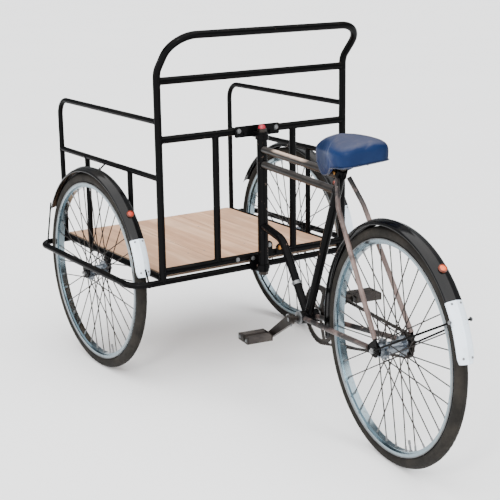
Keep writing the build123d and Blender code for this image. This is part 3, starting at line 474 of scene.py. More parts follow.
class Shape:
    """Points and faces that are gathered into one piece."""

    def __init__(self):
        self.points, self.faces, self.kinds = [], [], []

    def grid(self, rows, closed_rows=False, closed_columns=False, kind=0):
        """Quads between rows of points."""
        start, wide, tall = len(self.points), len(rows[0]), len(rows)
        for row in rows:
            self.points.extend(row)
        for r in range(tall if closed_rows else tall - 1):
            for c in range(wide if closed_columns else wide - 1):
                a, b = start + r * wide, start + (r + 1) % tall * wide
                d = (c + 1) % wide
                self.faces.append((a + c, a + d, b + d, b + c))
                self.kinds.append(kind(r) if callable(kind) else kind)

    def loop(self, rows):
        """A closed ring of closed rows, such as a bead."""
        self.grid(rows, closed_rows=True, closed_columns=True)

    def cap(self, ring, kind=0, flip=False):
        """One face across a ring of points."""
        start = len(self.points)
        self.points.extend(ring)
        order = range(start, start + len(ring))
        self.faces.append(tuple(reversed(order)) if flip else tuple(order))
        self.kinds.append(kind)

    def solid(self, rows, kind=0, flip=False):
        """Rows of points closed by a cap at each end."""
        self.grid(rows, closed_columns=True, kind=kind)
        self.cap(rows[0], kind, flip=not flip)
        self.cap(rows[-1], kind, flip=flip)

    def lathe(self, foot, axis, profile, sides=24, kind=0):
        """A turned solid. The profile's rows are the distance along the axis and the radius."""
        axis, across, over = square_to(axis)
        rows = [circle(foot + axis * along, across, over, radius, sides) for along, radius in profile]
        self.solid(rows, kind)

    def nut(self, foot, axis, radius, thickness, kind=0):
        """A hexagonal nut or bolt head with a chamfered top and a washer under it."""
        washer_radius, washer_top = 1.15 * radius, 0.18 * thickness
        chamfer_start, top_radius = 0.85 * thickness, 0.86 * radius
        self.lathe(foot, axis, ((0.0, washer_radius), (washer_top, washer_radius)), 20, kind)
        head = ((washer_top, radius), (chamfer_start, radius), (thickness, top_radius))
        self.lathe(foot, axis, head, 6, kind)

    def dome(self, foot, axis, radius, height, kind=0, sides=14):
        """A low rounded head, such as a rivet."""
        steps = 4
        profile = []
        for step in range(steps):
            turn = math.pi / 2 * step / (steps - 0.5)
            profile.append((height * math.sin(turn), radius * math.cos(turn)))
        self.lathe(foot, axis, profile, sides, kind)

    def ring_bead(self, centre, axis, radius, thickness):
        """A weld bead around a round tube, with uneven ripples."""
        sides, wobble = 28, 0.25
        axis, across, over = square_to(axis)
        rows = []
        for side in range(sides):
            turn = math.tau * side / sides
            out = across * math.cos(turn) + over * math.sin(turn)
            size = thickness * (1.0 + wobble * (dice.random() - 0.5))
            rows.append(circle(centre + out * radius, out, axis, size, 6))
        self.loop(rows)

    def weld(self, meet, run, run_radius, carrier, carrier_radius):
        """A weld bead along the seam where a round tube meets its carrier tube."""
        turns, sides, bead_radius, wobble = 32, 6, 0.0021, 0.35
        run, carrier = run.normalized(), carrier.normalized()
        outward = (run - carrier * run.dot(carrier)).normalized()
        across = run.cross(carrier).normalized()
        over = run.cross(across)
        rows = []
        for turn in range(turns):
            angle = math.tau * turn / turns
            wide = run_radius * math.cos(angle)
            reach = math.sqrt(max(carrier_radius ** 2 - wide ** 2, 0.0))
            reach = (reach - run_radius * math.sin(angle) * over.dot(outward)) / run.dot(outward)
            out = across * math.cos(angle) + over * math.sin(angle)
            seam = meet + run * reach + out * run_radius
            size = bead_radius * (1.0 + wobble * (dice.random() - 0.5))
            rows.append(circle(seam, out, run, size, sides))
        self.loop(rows)

    def build(self, name, body, materials, sharp=35.0):
        """The piece made of all that was gathered."""
        return piece(name, body, materials, self.points, self.faces, self.kinds, sharp)


def tyre_outline():
    """The tyre's outline from bead to bead: cosine and sine of the lean, and the share of tread there."""
    steps, widest_lean, tread_lean = 30, 140.0, 50.0
    rows = []
    for step in range(steps + 1):
        lean = widest_lean * (2.0 * step / steps - 1.0)
        turn = math.radians(lean)
        rows.append((math.cos(turn), math.sin(turn), max(0.0, 1.0 - abs(lean) / tread_lean)))
    return rows


def build_tyre(name, body):
    """A tyre with ribbed tread: round ribs in the middle and slanted blocks at the shoulders."""
    centre, axis = WHEELS[name]
    groove, rib_pitch, rib_share, slant_rate = 0.0014, 0.0052, 0.45, 260.0
    turns, block_turns = 360, 4
    shape = Shape()
    rows = []
    for turn in range(turns):
        row = []
        for out, over, tread in tyre_outline():
            shift = tyre_half_width * over
            wave = 1.0
            if tread > rib_share:
                wave = math.cos(shift * math.tau / rib_pitch)
            elif tread > 0.0:
                wave = math.cos(math.tau * turn / block_turns + abs(shift) * slant_rate)
            reach = tyre_half_width - groove * (0.5 - 0.5 * wave)
            radius = wheel_radius - tyre_half_width + reach * out
            row.append(polar(centre, axis, radius, 360.0 * turn / turns, reach * over))
        rows.append(row)
    shape.grid(rows, closed_rows=True)
    made = shape.build(f"tyre_{name}_tread", body, [TYRE], 60.0)
    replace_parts(made, f"tyre_{name}")


def build_rim_details(name, body, flange_offset):
    """Spoke nipples, spoke heads, the rim's rolled edges and the valve."""
    centre, axis = WHEELS[name]
    inner = rim_radius - rim_depth
    spoke_pairs, spoke_lean, offset_share = 9, 55.0, 0.25
    hole_radius, elbow_shift, head_shift = 0.028, 0.002, 0.0033
    nipple = ((-0.015, 0.0023), (-0.013, 0.0030), (-0.004, 0.0031), (0.0005, 0.0040))
    shape = Shape()
    for side in (-1, 1):
        for number in range(spoke_pairs):
            start = 360.0 * (number + side * offset_share) / spoke_pairs
            for lean in (-1, 1):
                foot = polar(centre, axis, hole_radius, start, side * (flange_offset - lean * elbow_shift))
                end = polar(centre, axis, inner, start + lean * spoke_lean)
                shape.lathe(end, end - foot, nipple, 8)
            head = polar(centre, axis, hole_radius, start, side * (flange_offset + head_shift))
            shape.dome(head, axis * side, 0.0038, 0.002)
    edge_radius, edge_share = 0.0021, 0.96
    edge_turns, edge_sides = 180, 6
    for side in (-1, 1):
        rows = []
        for turn in range(edge_turns):
            row = []
            for step in range(edge_sides):
                lean = math.tau * step / edge_sides
                radius = rim_radius - edge_radius + edge_radius * math.cos(lean)
                shift = side * rim_half_width * edge_share + edge_radius * math.sin(lean)
                row.append(polar(centre, axis, radius, 360.0 * turn / edge_turns, shift))
            rows.append(row)
        shape.loop(rows)
    valve_angle = 250.0
    valve = ((-0.002, 0.005), (0.003, 0.005), (0.003, 0.0032), (0.020, 0.0032), (0.020, 0.0042),
             (0.032, 0.0038))
    valve_foot = polar(centre, axis, inner, valve_angle)
    shape.lathe(valve_foot, centre - valve_foot, valve, 12)
    shape.build(f"rim_details_{name}", body, [GALVANISED])


for name in WHEELS:
    build_tyre(name, f"wheel_{name}")
    build_rim_details(name, f"wheel_{name}", 0.032 if name == "rear" else 0.026)


def guard_section():
    """A mudguard's closed outline: outer face with a ridge and turned-in edges, then the inner face."""
    thickness, ridge, ridge_rate, inner_share = 0.0012, 0.0018, 8.0, 0.985
    lip, lip_share, lip_power = 0.0045, 0.90, 1.5
    steps = 24
    outer, inner = [], []
    for step in range(steps + 1):
        share = 2.0 * step / steps - 1.0
        turned = max(0.0, abs(share) - lip_share) / (1.0 - lip_share)
        lift = ridge * math.exp(-((share * ridge_rate) ** 2)) - lip * turned ** lip_power
        radius = guard_radius - guard_sag * share * share - ridge + lift
        outer.append((radius, guard_half_width * share))
        inner.append((radius - thickness, guard_half_width * share * inner_share))
    return outer + inner[::-1]


def build_guard(name, body, wheel, start, end, white_from):
    """An arched mudguard with a white painted tail that narrows, and four rivets on the tail."""
    centre, axis = WHEELS[wheel]
    section = guard_section()
    step_angle, corner_angle, corner_share, paint_edge = 2.0, 4.0, 0.22, 0.02
    rivet_angles = (white_from + 1.2, end - 2.5)
    rivet_shift, rivet_drop, rivet_radius = 0.014, 0.0045, 0.0035
    count = round((end - start) / step_angle)
    angles = [start + (end - start) * step / count for step in range(count + 1)]
    angles += [white_from - paint_edge, white_from + paint_edge]
    angles.sort()
    shape = Shape()
    rows = []
    for angle in angles:
        tail = max(0.0, (angle - (end - corner_angle)) / corner_angle)
        narrow = 1.0 - corner_share * tail * tail
        rows.append([polar(centre, axis, radius, angle, shift * narrow) for radius, shift in section])
    shape.grid(rows, closed_columns=True, kind=lambda row: 1 if angles[row] >= white_from else 0)
    shape.cap(rows[0])
    shape.cap(rows[-1], 1, flip=True)
    for angle in rivet_angles:
        for shift in (-rivet_shift, rivet_shift):
            foot = polar(centre, axis, guard_radius - rivet_drop, angle, shift)
            shape.dome(foot, foot - centre, rivet_radius, rivet_radius, 2)
    return shape.build(name, body, [GUARD_BLACK, WHITE, GALVANISED], 40.0)


def build_reflector(name, body, wheel, angle, paint):
    """A domed lens in a turned bezel, on the mudguard's crown."""
    centre, axis = WHEELS[wheel]
    foot = polar(centre, axis, guard_radius, angle)
    bezel = ((0.0, 0.0128), (0.0055, 0.0128), (0.0065, 0.0122), (0.0065, 0.0108), (0.0035, 0.0108))
    lens_foot, lens_height, lens_radius, steps, flat_top = 0.0035, 0.0045, 0.0106, 6, 0.3
    dome = []
    for step in range(steps + 1):
        height = lens_foot + lens_height * math.sin(math.pi / 2 * step / steps)
        dome.append((height, lens_radius * math.cos(math.pi / 2 * step / (steps + flat_top))))
    shape = Shape()
    shape.lathe(foot, foot - centre, bezel, 32, 1)
    shape.lathe(foot, foot - centre, dome, 32)
    return shape.build(name, body, [paint, LENS_RIM])


# Mudguards: angle in front, angle at the rear, angle where the white starts. Reflectors: their angle.
front_guards = []
for side_name, side in SIDES:
    made = build_guard(f"front_guard_{side_name}", "bed", f"front_{side_name}", 28.0, 171.0, 151.0)
    front_guards.append(made)
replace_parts(front_guards[0], "front_guards")
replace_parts(build_guard("rear_guard_shell", "rear_frame", "rear", -12.0, 170.0, 143.5), "rear_guard")
reflectors = []
for side_name, side in SIDES:
    made = build_reflector(f"reflector_front_{side_name}", "bed", f"front_{side_name}", 137.0, RED_LENS)
    reflectors.append(made)
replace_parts(reflectors[0], "front_reflectors")
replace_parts(build_reflector("reflector_rear", "rear_frame", "rear", 129.0, ORANGE_LENS), "rear_reflector")


def build_bed_welds():
    """Weld beads at every tube joint of the bed."""
    ring_thickness = 0.0015
    post, side_post = (UP, hoop_radius), (UP, side_rail_radius)
    side_rail, side_tube = (FORWARD, side_rail_radius), (FORWARD, base_rail_radius)
    base_bar, hoop_bar = (LEFT, base_rail_radius), (LEFT, hoop_radius)
    shape = Shape()
    for side in (-1, 1):
        edge = side * bed_half_width
        table = [
            # place of the meeting, direction of the joining tube, its radius, and the tube that carries it
            ((0, edge, base_rail_height), UP, hoop_radius, base_bar),
            ((bed_length, edge, base_rail_height), UP, side_rail_radius, base_bar),
            ((0, edge, side_top_height), FORWARD, side_rail_radius, post),
            ((0, edge, side_mid_height), FORWARD, side_rail_radius, post),
            ((bed_length, edge, side_mid_height), -FORWARD, side_rail_radius, side_post),
            ((0, edge, side_tube_height), FORWARD, base_rail_radius, post),
            ((bed_length, edge, side_tube_height), -FORWARD, base_rail_radius, side_post),
            ((0, side * upright_offset, panel_rail_height), UP, upright_radius, hoop_bar),
            ((0, side * upright_offset, hoop_mid_height), -UP, upright_radius, hoop_bar),
        ]
        for height in (hoop_mid_height, hoop_bend_bar_height, panel_rail_height):
            table.append(((0, edge, height), LEFT * -side, hoop_radius, post))
        for forward in side_post_places:
            table.append(((forward, edge, side_tube_height), UP, side_rail_radius, side_tube))
            table.append(((forward, edge, side_mid_height), -UP, side_rail_radius, side_rail))
        for place, run, radius, carrier in table:
            shape.weld(bed_point(*place), run, radius, *carrier)
        for forward in (0, bed_length):
            joint = bed_point(forward, side * (rail_half_width - base_corner_radius), base_rail_height)
            shape.ring_bead(joint, LEFT, base_rail_radius, ring_thickness)
    shape.build("bed_welds", "bed", [BLACK])


def build_rear_welds():
    """Weld beads at the rear frame's tube joints."""
    stay_start_left, stay_bend = 0.020, (0.450, 0.034, 0.3162)
    column, seat_tube = (UP, head_tube_radius), (SEAT_RUN, seat_tube_radius)
    shell = (REAR_LEFT, bracket_radius)
    slope = (seat_cluster_back - bracket_back) / (seat_cluster_height - bracket_height)
    shape = Shape()
    for height in (upper_bar_height, lower_bar_height):
        back = bracket_back + slope * (height - bracket_height)
        shape.weld(rear_point(0, 0, height), REAR_BACK, top_tube_radius, *column)
        shape.weld(rear_point(back, 0, height), -REAR_BACK, top_tube_radius, *seat_tube)
    shape.weld(BRACKET, SEAT_RUN, seat_tube_radius, *shell)
    shape.weld(BRACKET, DOWN_BEND - BRACKET, down_tube_radius, *shell)
    down_top = rear_point(0, 0, down_tube_top)
    shape.weld(down_top, DOWN_BEND - down_top, down_tube_radius, *column)
    for side in (-1, 1):
        foot = rear_point(bracket_back, side * stay_start_left, bracket_height)
        bend = rear_point(stay_bend[0], side * stay_bend[1], stay_bend[2])
        shape.weld(foot, bend - foot, chain_stay_radius, *shell)
    shape.build("rear_welds", "rear_frame", [REAR_BLACK])


build_bed_welds()
build_rear_welds()


def build_bed_hardware():
    """Bolts of the steering brackets, two bolted lugs, screws of the boards and the mudguards' bolts."""
    plate_face, bolt_height = -hoop_radius - 0.0052, 0.006
    shape = Shape()
    bolts = (
        # place forward, left and up, radius, place in the list of materials
        (plate_face, 0.076, 0.878, 0.0075, 0),
        (plate_face, -0.076, 0.878, 0.0075, 0),
        (plate_face, 0.052, 0.866, 0.0055, 2),
        (plate_face, -0.052, 0.866, 0.0055, 2),
        (plate_face, 0.026, 0.424, 0.007, 0),
        (plate_face, -0.026, 0.424, 0.007, 1),
        (-hoop_radius + 0.001, 0.085, panel_rail_height, 0.007, 0),
    )
    for forward, left, height, radius, kind in bolts:
        shape.nut(bed_point(forward, left, height), -FORWARD, radius, bolt_height, kind)
    lug_face, lug_half_width, lug_thickness, lug_steps = -hoop_radius - 0.0005, 0.014, 0.0045, 8
    lug_foot = panel_rail_height - 0.006
    # place to the left, height of the bolt and the bolt's place in the list of materials
    for left, top, kind in ((-0.044, 0.462, 0), (-0.089, 0.446, 1)):
        outline = [(-lug_half_width, lug_foot), (lug_half_width, lug_foot)]
        for step in range(lug_steps + 1):
            turn = math.pi * step / lug_steps
            outline.append((lug_half_width * math.cos(turn), top + lug_half_width * math.sin(turn)))
        rows = []
        for depth in (0.0, lug_thickness):
            rows.append([bed_point(lug_face - depth, left + shift, height) for shift, height in outline])
        shape.solid(rows, 2, flip=True)
        shape.nut(bed_point(lug_face - lug_thickness, left, top), -FORWARD, 0.0075, bolt_height, kind)
    boards, screw_drop = 3, 0.0006
    board_width = (boards_high.y - boards_low.y) / boards
    for forward in (0.030, *side_post_places, bed_length - 0.004):
        for board in range(boards):
            for share in (0.14, 0.86):
                left = boards_low.y + board_width * (board + share)
                shape.dome(bed_point(forward, left, boards_high.z - screw_drop), UP, 0.0042, 0.0016, 0, 12)
    for side in (-1, 1):
        centre, axis = WHEELS["front_left" if side > 0 else "front_right"]
        crown = polar(centre, axis, guard_radius - guard_sag, 90.0, -side * (guard_half_width + 0.001))
        shape.nut(crown, LEFT * -side, 0.0055, 0.004)
    shape.build("bed_hardware", "bed", [GALVANISED, BRASS, BLACK])


def build_rear_hardware():
    """The column's red cap, the seat collar, guard bolts, bracket cups and the tube clip."""
    # distances along the axis with their radii
    cap = ((-0.001, 0.0125), (0.006, 0.0125), (0.011, 0.010), (0.014, 0.004))
    collar = ((-0.022, 0.0165), (-0.021, 0.0175), (0.003, 0.0175), (0.004, 0.0165))
    ear = ((-0.004, 0.008), (0.0, 0.009), (0.004, 0.008))
    cup = ((-0.001, 0.0225), (0.003, 0.0225), (0.005, 0.018), (0.005, 0.0105))
    clip = ((-0.006, 0.0143), (-0.006, 0.0155), (0.006, 0.0155), (0.006, 0.0143))
    ear_shift, collar_bolt_shift, guard_bolt_angle, clip_share = 0.006, 0.010, 152.0, 0.43
    shape = Shape()
    shape.lathe(rear_point(0, 0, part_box("steering_column")[1].z), UP, cap, 20, 2)
    collar_place = BRACKET + SEAT_RUN * ((seat_tube_top - bracket_height) / SEAT_RUN.z)
    shape.lathe(collar_place, SEAT_RUN, collar, 24, 3)
    pinch = collar_place - SEAT_RUN.normalized() * 0.009 - REAR_BACK * 0.020
    for side in (-1, 1):
        shape.lathe(pinch + REAR_LEFT * side * ear_shift, REAR_LEFT * side, ear, 12, 3)
    for side in (1, -1):
        shape.nut(pinch + REAR_LEFT * side * collar_bolt_shift, REAR_LEFT * side, 0.0065, 0.006, 1)
    for side in (-1, 1):
        cup_foot = rear_point(bracket_back, side * bracket_half_width, bracket_height)
        shape.lathe(cup_foot, REAR_LEFT * side, cup, 28)
        shift = side * (guard_half_width + 0.0062)
        guard_bolt = polar(REAR_CENTRE, REAR_LEFT, guard_radius - guard_sag, guard_bolt_angle, shift)
        shape.nut(guard_bolt, REAR_LEFT * side, 0.0055, 0.004)
    clip_place = BRACKET.lerp(DOWN_BEND, clip_share)
    shape.lathe(clip_place, DOWN_BEND - BRACKET, clip, 24)
    shape.nut(clip_place + REAR_LEFT * 0.0150, REAR_LEFT, 0.004, 0.004)
    shape.build("rear_hardware", "rear_frame", [GALVANISED, BRASS, RED_PAINT, REAR_BLACK])


build_bed_hardware()
build_rear_hardware()


def chain_path():
    """The chain's pitch line as evenly spaced points, measured back and up from the bracket's axis."""
    ring = chain_pitch / 2 / math.sin(math.pi / ring_teeth)
    cog = chain_pitch / 2 / math.sin(math.pi / sprocket_teeth)
    bracket, axle = Vector((0, 0)), Vector((rear_wheel_back - bracket_back, axle_height - bracket_height))
    opening = math.acos((ring - cog) / axle.length)
    upper, lower = math.atan2(axle.y, axle.x) + opening, math.atan2(axle.y, axle.x) - opening
    straight = axle.length * math.sin(opening)
    segments = (
        # centre, radius, angle at the start, length, whether it runs straight
        (bracket, ring, upper, straight, True),
        (axle, cog, upper, cog * 2 * opening, False),
        (axle, cog, lower, straight, True),
        (bracket, ring, lower, ring * (math.tau - 2 * opening), False),
    )
    total = sum(segment[3] for segment in segments)
    count = 2 * round(total / chain_pitch / 2)
    points = []
    for number in range(count):
        rest = total * number / count
        for centre, radius, start, length, runs_straight in segments:
            if rest < length:
                break
            rest -= length
        turn = start if runs_straight else start - rest / radius
        ahead = Vector((math.sin(turn), -math.cos(turn))) * (rest if runs_straight else 0.0)
        points.append(centre + Vector((math.cos(turn), math.sin(turn))) * radius + ahead)
    return points


def build_chain():
    """A roller chain: inner and outer plates by turns, with a roller and a pin at each joint."""
    plate_radius, waist_radius, plate_thickness, plate_steps = 0.0042, 0.0030, 0.0010, 5
    inner_offset, outer_offset = 0.0023, 0.0034
    roller, pin = ((-0.0024, 0.0036), (0.0024, 0.0036)), ((-0.0048, 0.0017), (0.0048, 0.0017))
    places = [rear_point(bracket_back + x, -chain_line, bracket_height + y) for x, y in chain_path()]
    shape = Shape()
    for number, place in enumerate(places):
        step_on = places[(number + 1) % len(places)] - place
        along, length = step_on.normalized(), step_on.length
        over = REAR_LEFT.cross(along)
        offset = outer_offset if number % 2 else inner_offset
        outline = []
        for centre, first, waist in ((0.0, 90.0, -waist_radius), (length, -90.0, waist_radius)):
            for step in range(plate_steps + 1):
                turn = math.radians(first + 180.0 * step / plate_steps)
                outline.append((centre + plate_radius * math.cos(turn), plate_radius * math.sin(turn)))
            outline.append((length / 2, waist))
        for side in (-1, 1):
            rows = []
            for shift in (offset, offset + plate_thickness):
                rows.append([place + along * x + over * y + REAR_LEFT * side * shift for x, y in outline])
            shape.solid(rows, flip=side < 0)
        shape.lathe(place, REAR_LEFT, roller, 10)
        shape.lathe(place, REAR_LEFT, pin, 8)
    made = shape.build("chain_links", "rear_frame", [OILY])
    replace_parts(made, "chain")


def build_pedal(side_name, side):
    """Two ribbed rubber blocks in the pedal's frame, with the bolts that hold them."""
    pivot = joint_place(f"{side_name}_pedal_spin")[0]
    frame_start, frame_length, end_plate = 0.078, 0.092, 0.0041
    start, length, bevel, bevel_share = frame_start + end_plate, frame_length - 2 * end_plate, 0.0008, 0.96
    half_depth, half_height, block_depth = 0.038, 0.012, 0.026
    middle, wide = half_depth - block_depth / 2, block_depth / 2 - 0.0002
    rib_depth, corner, steps = 0.0022, 0.003, 20
    out = REAR_LEFT * side
    foot = pivot - out * (pivot - rear_point(0, 0, 0)).dot(out)
    outline = []
    for face in (1, -1):
        for step in range(steps + 1):
            share = step / steps
            x = face * wide * (1.0 - 2.0 * share)
            edge = min(1.0, (wide - abs(x)) / corner)
            y = half_height - (1.0 - edge) * corner
            # Every four steps make one rib and one groove, with none at the block's edges
            if step % 4 in (2, 3) and 0.05 < share < 0.95:
                y -= rib_depth
            outline.append((x, face * y))
    shape = Shape()
    for block in (-1, 1):
        rows = []
        for shift, trim in ((0.0, bevel_share), (bevel, 1.0), (length - bevel, 1.0), (length, bevel_share)):
            centre = foot + out * (start + shift) + REAR_BACK * block * middle
            rows.append([centre + REAR_BACK * (x * trim) + UP * (y * trim) for x, y in outline])
        shape.solid(rows)
    made = shape.build(f"pedal_treads_{side_name}", f"pedal_{side_name}", [PEDAL], 25.0)
    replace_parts(made, f"pedal_blocks_{side_name}")
    bolts = Shape()
    for block in (-1, 1):
        for shift, way in ((frame_start, -1), (frame_start + frame_length, 1)):
            bolts.nut(foot + out * shift + REAR_BACK * block * middle, out * way, 0.005, 0.004)
    bolts.build(f"pedal_bolts_{side_name}", f"pedal_{side_name}", [GALVANISED])


def build_crank_details():
    """Cotter pins with their nuts, caps on the spindle's ends and the chainring's bolts."""
    arm_angle, cotter_left, cotter_offset = math.radians(33.0), 0.0645, 0.0105
    cotter = ((-0.021, 0.0035), (-0.017, 0.0045), (0.021, 0.0045))
    cap_left, ring_bolts, ring_bolt_circle = 0.0738, 5, 0.034
    shape = Shape()
    for side in (1, -1):
        arm = (REAR_BACK * math.cos(arm_angle) + UP * math.sin(arm_angle)) * -side
        across = arm.cross(REAR_LEFT)
        place = rear_point(bracket_back, side * cotter_left, bracket_height) + arm * cotter_offset
        shape.lathe(place, across, cotter, 14)
        shape.nut(place + across * 0.016, across, 0.007, 0.005)
        cap_foot = rear_point(bracket_back, side * cap_left, bracket_height)
        shape.dome(cap_foot, REAR_LEFT * side, 0.0075, 0.0015)
    for number in range(ring_bolts):
        turn = math.tau * number / ring_bolts + math.pi / 2
        back = bracket_back + ring_bolt_circle * math.cos(turn)
        height = bracket_height + ring_bolt_circle * math.sin(turn)
        shape.dome(rear_point(back, -chain_line - 0.0015, height), -REAR_LEFT, 0.0045, 0.0025)
    shape.build("crank_details", "crank_set", [GALVANISED])


build_chain()
for side_name, side in SIDES:
    build_pedal(side_name, side)
build_crank_details()

# Saddle: where it starts and ends, its width and heights, and its lean to the left about a height
saddle_nose_back, saddle_rear_back = 0.395, 0.702
saddle_half_width, saddle_skirt_height, saddle_top_height = 0.092, 0.803, 0.946
saddle_lean, saddle_lean_height = math.radians(5.0), 0.875

# Its sections from the nose to the rear, nearly as in the part
SADDLE_SHARES = (
    # along the length, half width, lower edge and top between the skirt's edge and the highest point
    (0.0, 0.14, 0.20, 0.58),
    (0.06, 0.22, 0.18, 0.68),
    (0.167, 0.29, 0.0, 0.80),
    (0.333, 0.40, 0.03, 0.91),
    (0.5, 0.60, 0.19, 0.98),
    (0.667, 0.86, 0.33, 1.0),
    (0.833, 0.97, 0.42, 0.98),
    (0.95, 0.90, 0.44, 0.95),
    (1.0, 0.68, 0.48, 0.89),
)


def smooth_between(rows, place, column):
    """A value of the table between its rows, on a smooth curve."""
    last = len(rows) - 1
    number = max(index for index in range(last) if rows[index][0] <= place or index == 0)
    points = [rows[min(max(number + shift, 0), last)] for shift in (-1, 0, 1, 2)]
    span = points[2][0] - points[1][0]
    share = (place - points[1][0]) / span
    slopes = []
    for before, after in ((points[0], points[2]), (points[1], points[3])):
        slopes.append((after[column] - before[column]) / max(after[0] - before[0], 1e-6) * span)
    square, cube = share * share, share ** 3
    return ((2 * cube - 3 * square + 1) * points[1][column] + (cube - 2 * square + share) * slopes[0]
            + (3 * square - 2 * cube) * points[2][column] + (cube - square) * slopes[1])


def saddle_point(back, left, height):
    """A point of the saddle, which leans a little to the left."""
    rise = height - saddle_lean_height
    leaned_left = left * math.cos(saddle_lean) + rise * math.sin(saddle_lean)
    leaned_rise = rise * math.cos(saddle_lean) - left * math.sin(saddle_lean)
    return rear_point(back, leaned_left, saddle_lean_height + leaned_rise)


def saddle_back(share):
    """How far back a share of the saddle's length lies."""
    return saddle_nose_back + (saddle_rear_back - saddle_nose_back) * share


def saddle_size(share):
    """Half width, lower edge and top of the saddle at a share of its length."""
    rise = saddle_top_height - saddle_skirt_height
    wide = saddle_half_width * smooth_between(SADDLE_SHARES, share, 1)
    low = saddle_skirt_height + rise * smooth_between(SADDLE_SHARES, share, 2)
    high = saddle_skirt_height + rise * smooth_between(SADDLE_SHARES, share, 3)
    return wide, low, high


def saddle_ring(share, inset, hollow):
    """One closed section: over the top, down both sides, and along the underside, which may be hollow."""
    rounding, steps, shoulder_share, roof_share = 0.74, 40, 0.42, 0.42
    wide, low, high = saddle_size(share)
    wide, high, low = wide - inset, high - inset, low + inset
    shoulder = low + (high - low) * shoulder_share
    points = []
    for step in range(steps + 1):
        turn = math.pi * step / steps
        cos, sin = math.cos(turn), math.sin(turn)
        left = wide * math.copysign(abs(cos) ** rounding, cos)
        points.append((left, shoulder + (high - shoulder) * abs(sin) ** rounding))
    tuck, wall = 0.95, min(0.012, wide * 0.4)
    roof = low + (high - low) * roof_share * hollow
    points.append((-wide * tuck, low))
    for side in (-1, 1):
        for reach in (1.0, 0.8, 0.3)[::-side]:
            points.append((side * (wide * tuck - wall) * reach, low if reach == 1.0 else roof))
    points.append((wide * tuck, low))
    return [saddle_point(saddle_back(share), left, height) for left, height in points]


def saddle_form():
    """The cover before it is puffed: closed at the nose and the rear, hollow over the rails between."""
    inset, rows, first_share, covered_share = 0.0030, 60, 0.012, 0.976
    hollow_start, hollow_end, ramp = 0.30, 0.80, 0.05
    shape = Shape()
    rings = []
    for row in range(rows + 1):
        share = first_share + covered_share * row / rows
        hollow = min(1.0, max(0.0, min(share - hollow_start, hollow_end - share) / ramp + 1.0))
        rings.append(saddle_ring(share, inset, hollow))
    shape.grid(rings, closed_columns=True)
    for ring, way in ((rings[0], -1), (rings[-1], 1)):
        middle = sum(ring, Vector()) / len(ring)
        bands = [ring]
        for scale, shift in ((0.88, 0.0022), (0.6, 0.0034), (0.25, 0.0040)):
            bands.append([middle + (point - middle) * scale + REAR_BACK * way * shift for point in ring])
        shape.grid(bands if way > 0 else bands[::-1], closed_columns=True)
        shape.cap(bands[-1], flip=way > 0)
    return shape.build("saddle_pad", "rear_frame", [VINYL], 60.0)


def take_shape(made):
    """Turn a piece's modifiers into its mesh."""
    depsgraph = bpy.context.evaluated_depsgraph_get()
    shaped = bpy.data.meshes.new_from_object(made.evaluated_get(depsgraph))
    made.modifiers.clear()
    made.data = shaped
    return shaped


def puff(made, held, pressure, cap):
    """Blow a closed form up by cloth pressure. Held says which points stay. The rest move by cap at most."""
    remesh = made.modifiers.new("remesh", "REMESH")
    remesh.mode = "VOXEL"
    remesh.voxel_size = 0.004
    mesh = take_shape(made)
    start = [vertex.co.copy() for vertex in mesh.vertices]
    group = made.vertex_groups.new(name="held")
    group.add([index for index, place in enumerate(start) if held(place)], 1.0, "REPLACE")
    settings = made.modifiers.new("cloth", "CLOTH").settings
    settings.effector_weights.gravity = 0.0
    settings.use_pressure = True
    settings.uniform_pressure_force = pressure
    settings.vertex_group_mass = "held"
    scene, frames = bpy.context.scene, 20
    for frame_number in range(1, frames + 1):
        scene.frame_set(frame_number)
    depsgraph = bpy.context.evaluated_depsgraph_get()
    moved = [vertex.co.copy() for vertex in made.evaluated_get(depsgraph).data.vertices]
    made.modifiers.clear()
    scene.frame_set(1)
    for vertex, before, after in zip(mesh.vertices, start, moved):
        move = after - before
        if move.length > cap:
            move = move * (cap / move.length)
        vertex.co = before + move
    smoothed = made.modifiers.new("smooth", "SMOOTH")
    smoothed.factor = 0.5
    smoothed.iterations = 6
    made.modifiers.new("surface", "SUBSURF").levels = 1
    mesh = take_shape(made)
    mesh.polygons.foreach_set("use_smooth", [True] * len(mesh.polygons))


def saddle_held(place):
    """Whether a place of the saddle lies on its skirt."""
    skirt = 0.012
    offset = place - rear_point(saddle_nose_back, 0, 0)
    share = offset.dot(REAR_BACK) / (saddle_rear_back - saddle_nose_back)
    low = saddle_size(min(1.0, max(0.0, share)))[1]
    return place.z + offset.dot(REAR_LEFT) * math.sin(saddle_lean) < low + skirt


def build_saddle_edge():
    """The rolled edge of the saddle's skirt."""
    bead_radius, sides, steps, crossings = 0.0021, 8, 44, 8
    first, last, tuck, lift, bulge = 0.035, 0.965, 0.0052, 0.0046, 0.007
    path = []
    for side, start, end in ((1, first, last), (-1, last, first)):
        for step in range(steps + 1):
            share = start + (end - start) * step / steps
            wide, low = saddle_size(share)[:2]
            path.append(saddle_point(saddle_back(share), side * (wide - tuck), low + lift))
        wide, low = saddle_size(end)[:2]
        for step in range(1, crossings):
            turn = math.pi * step / crossings
            back = saddle_back(end) + side * bulge * math.sin(turn) ** 0.5
            path.append(saddle_point(back, side * (wide - tuck) * math.cos(turn), low + lift))
    rows = []
    for number, place in enumerate(path):
        run = (path[(number + 1) % len(path)] - path[number - 1]).normalized()
        out = run.cross(UP).normalized()
        rows.append(circle(place, out, out.cross(run), bead_radius, sides))
    shape = Shape()
    shape.loop(rows)
    shape.build("saddle_edge", "rear_frame", [VINYL_EDGE], 60.0)


saddle = saddle_form()
puff(saddle, saddle_held, 4.0, 0.003)
build_saddle_edge()
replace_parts(saddle, "saddle_cover")

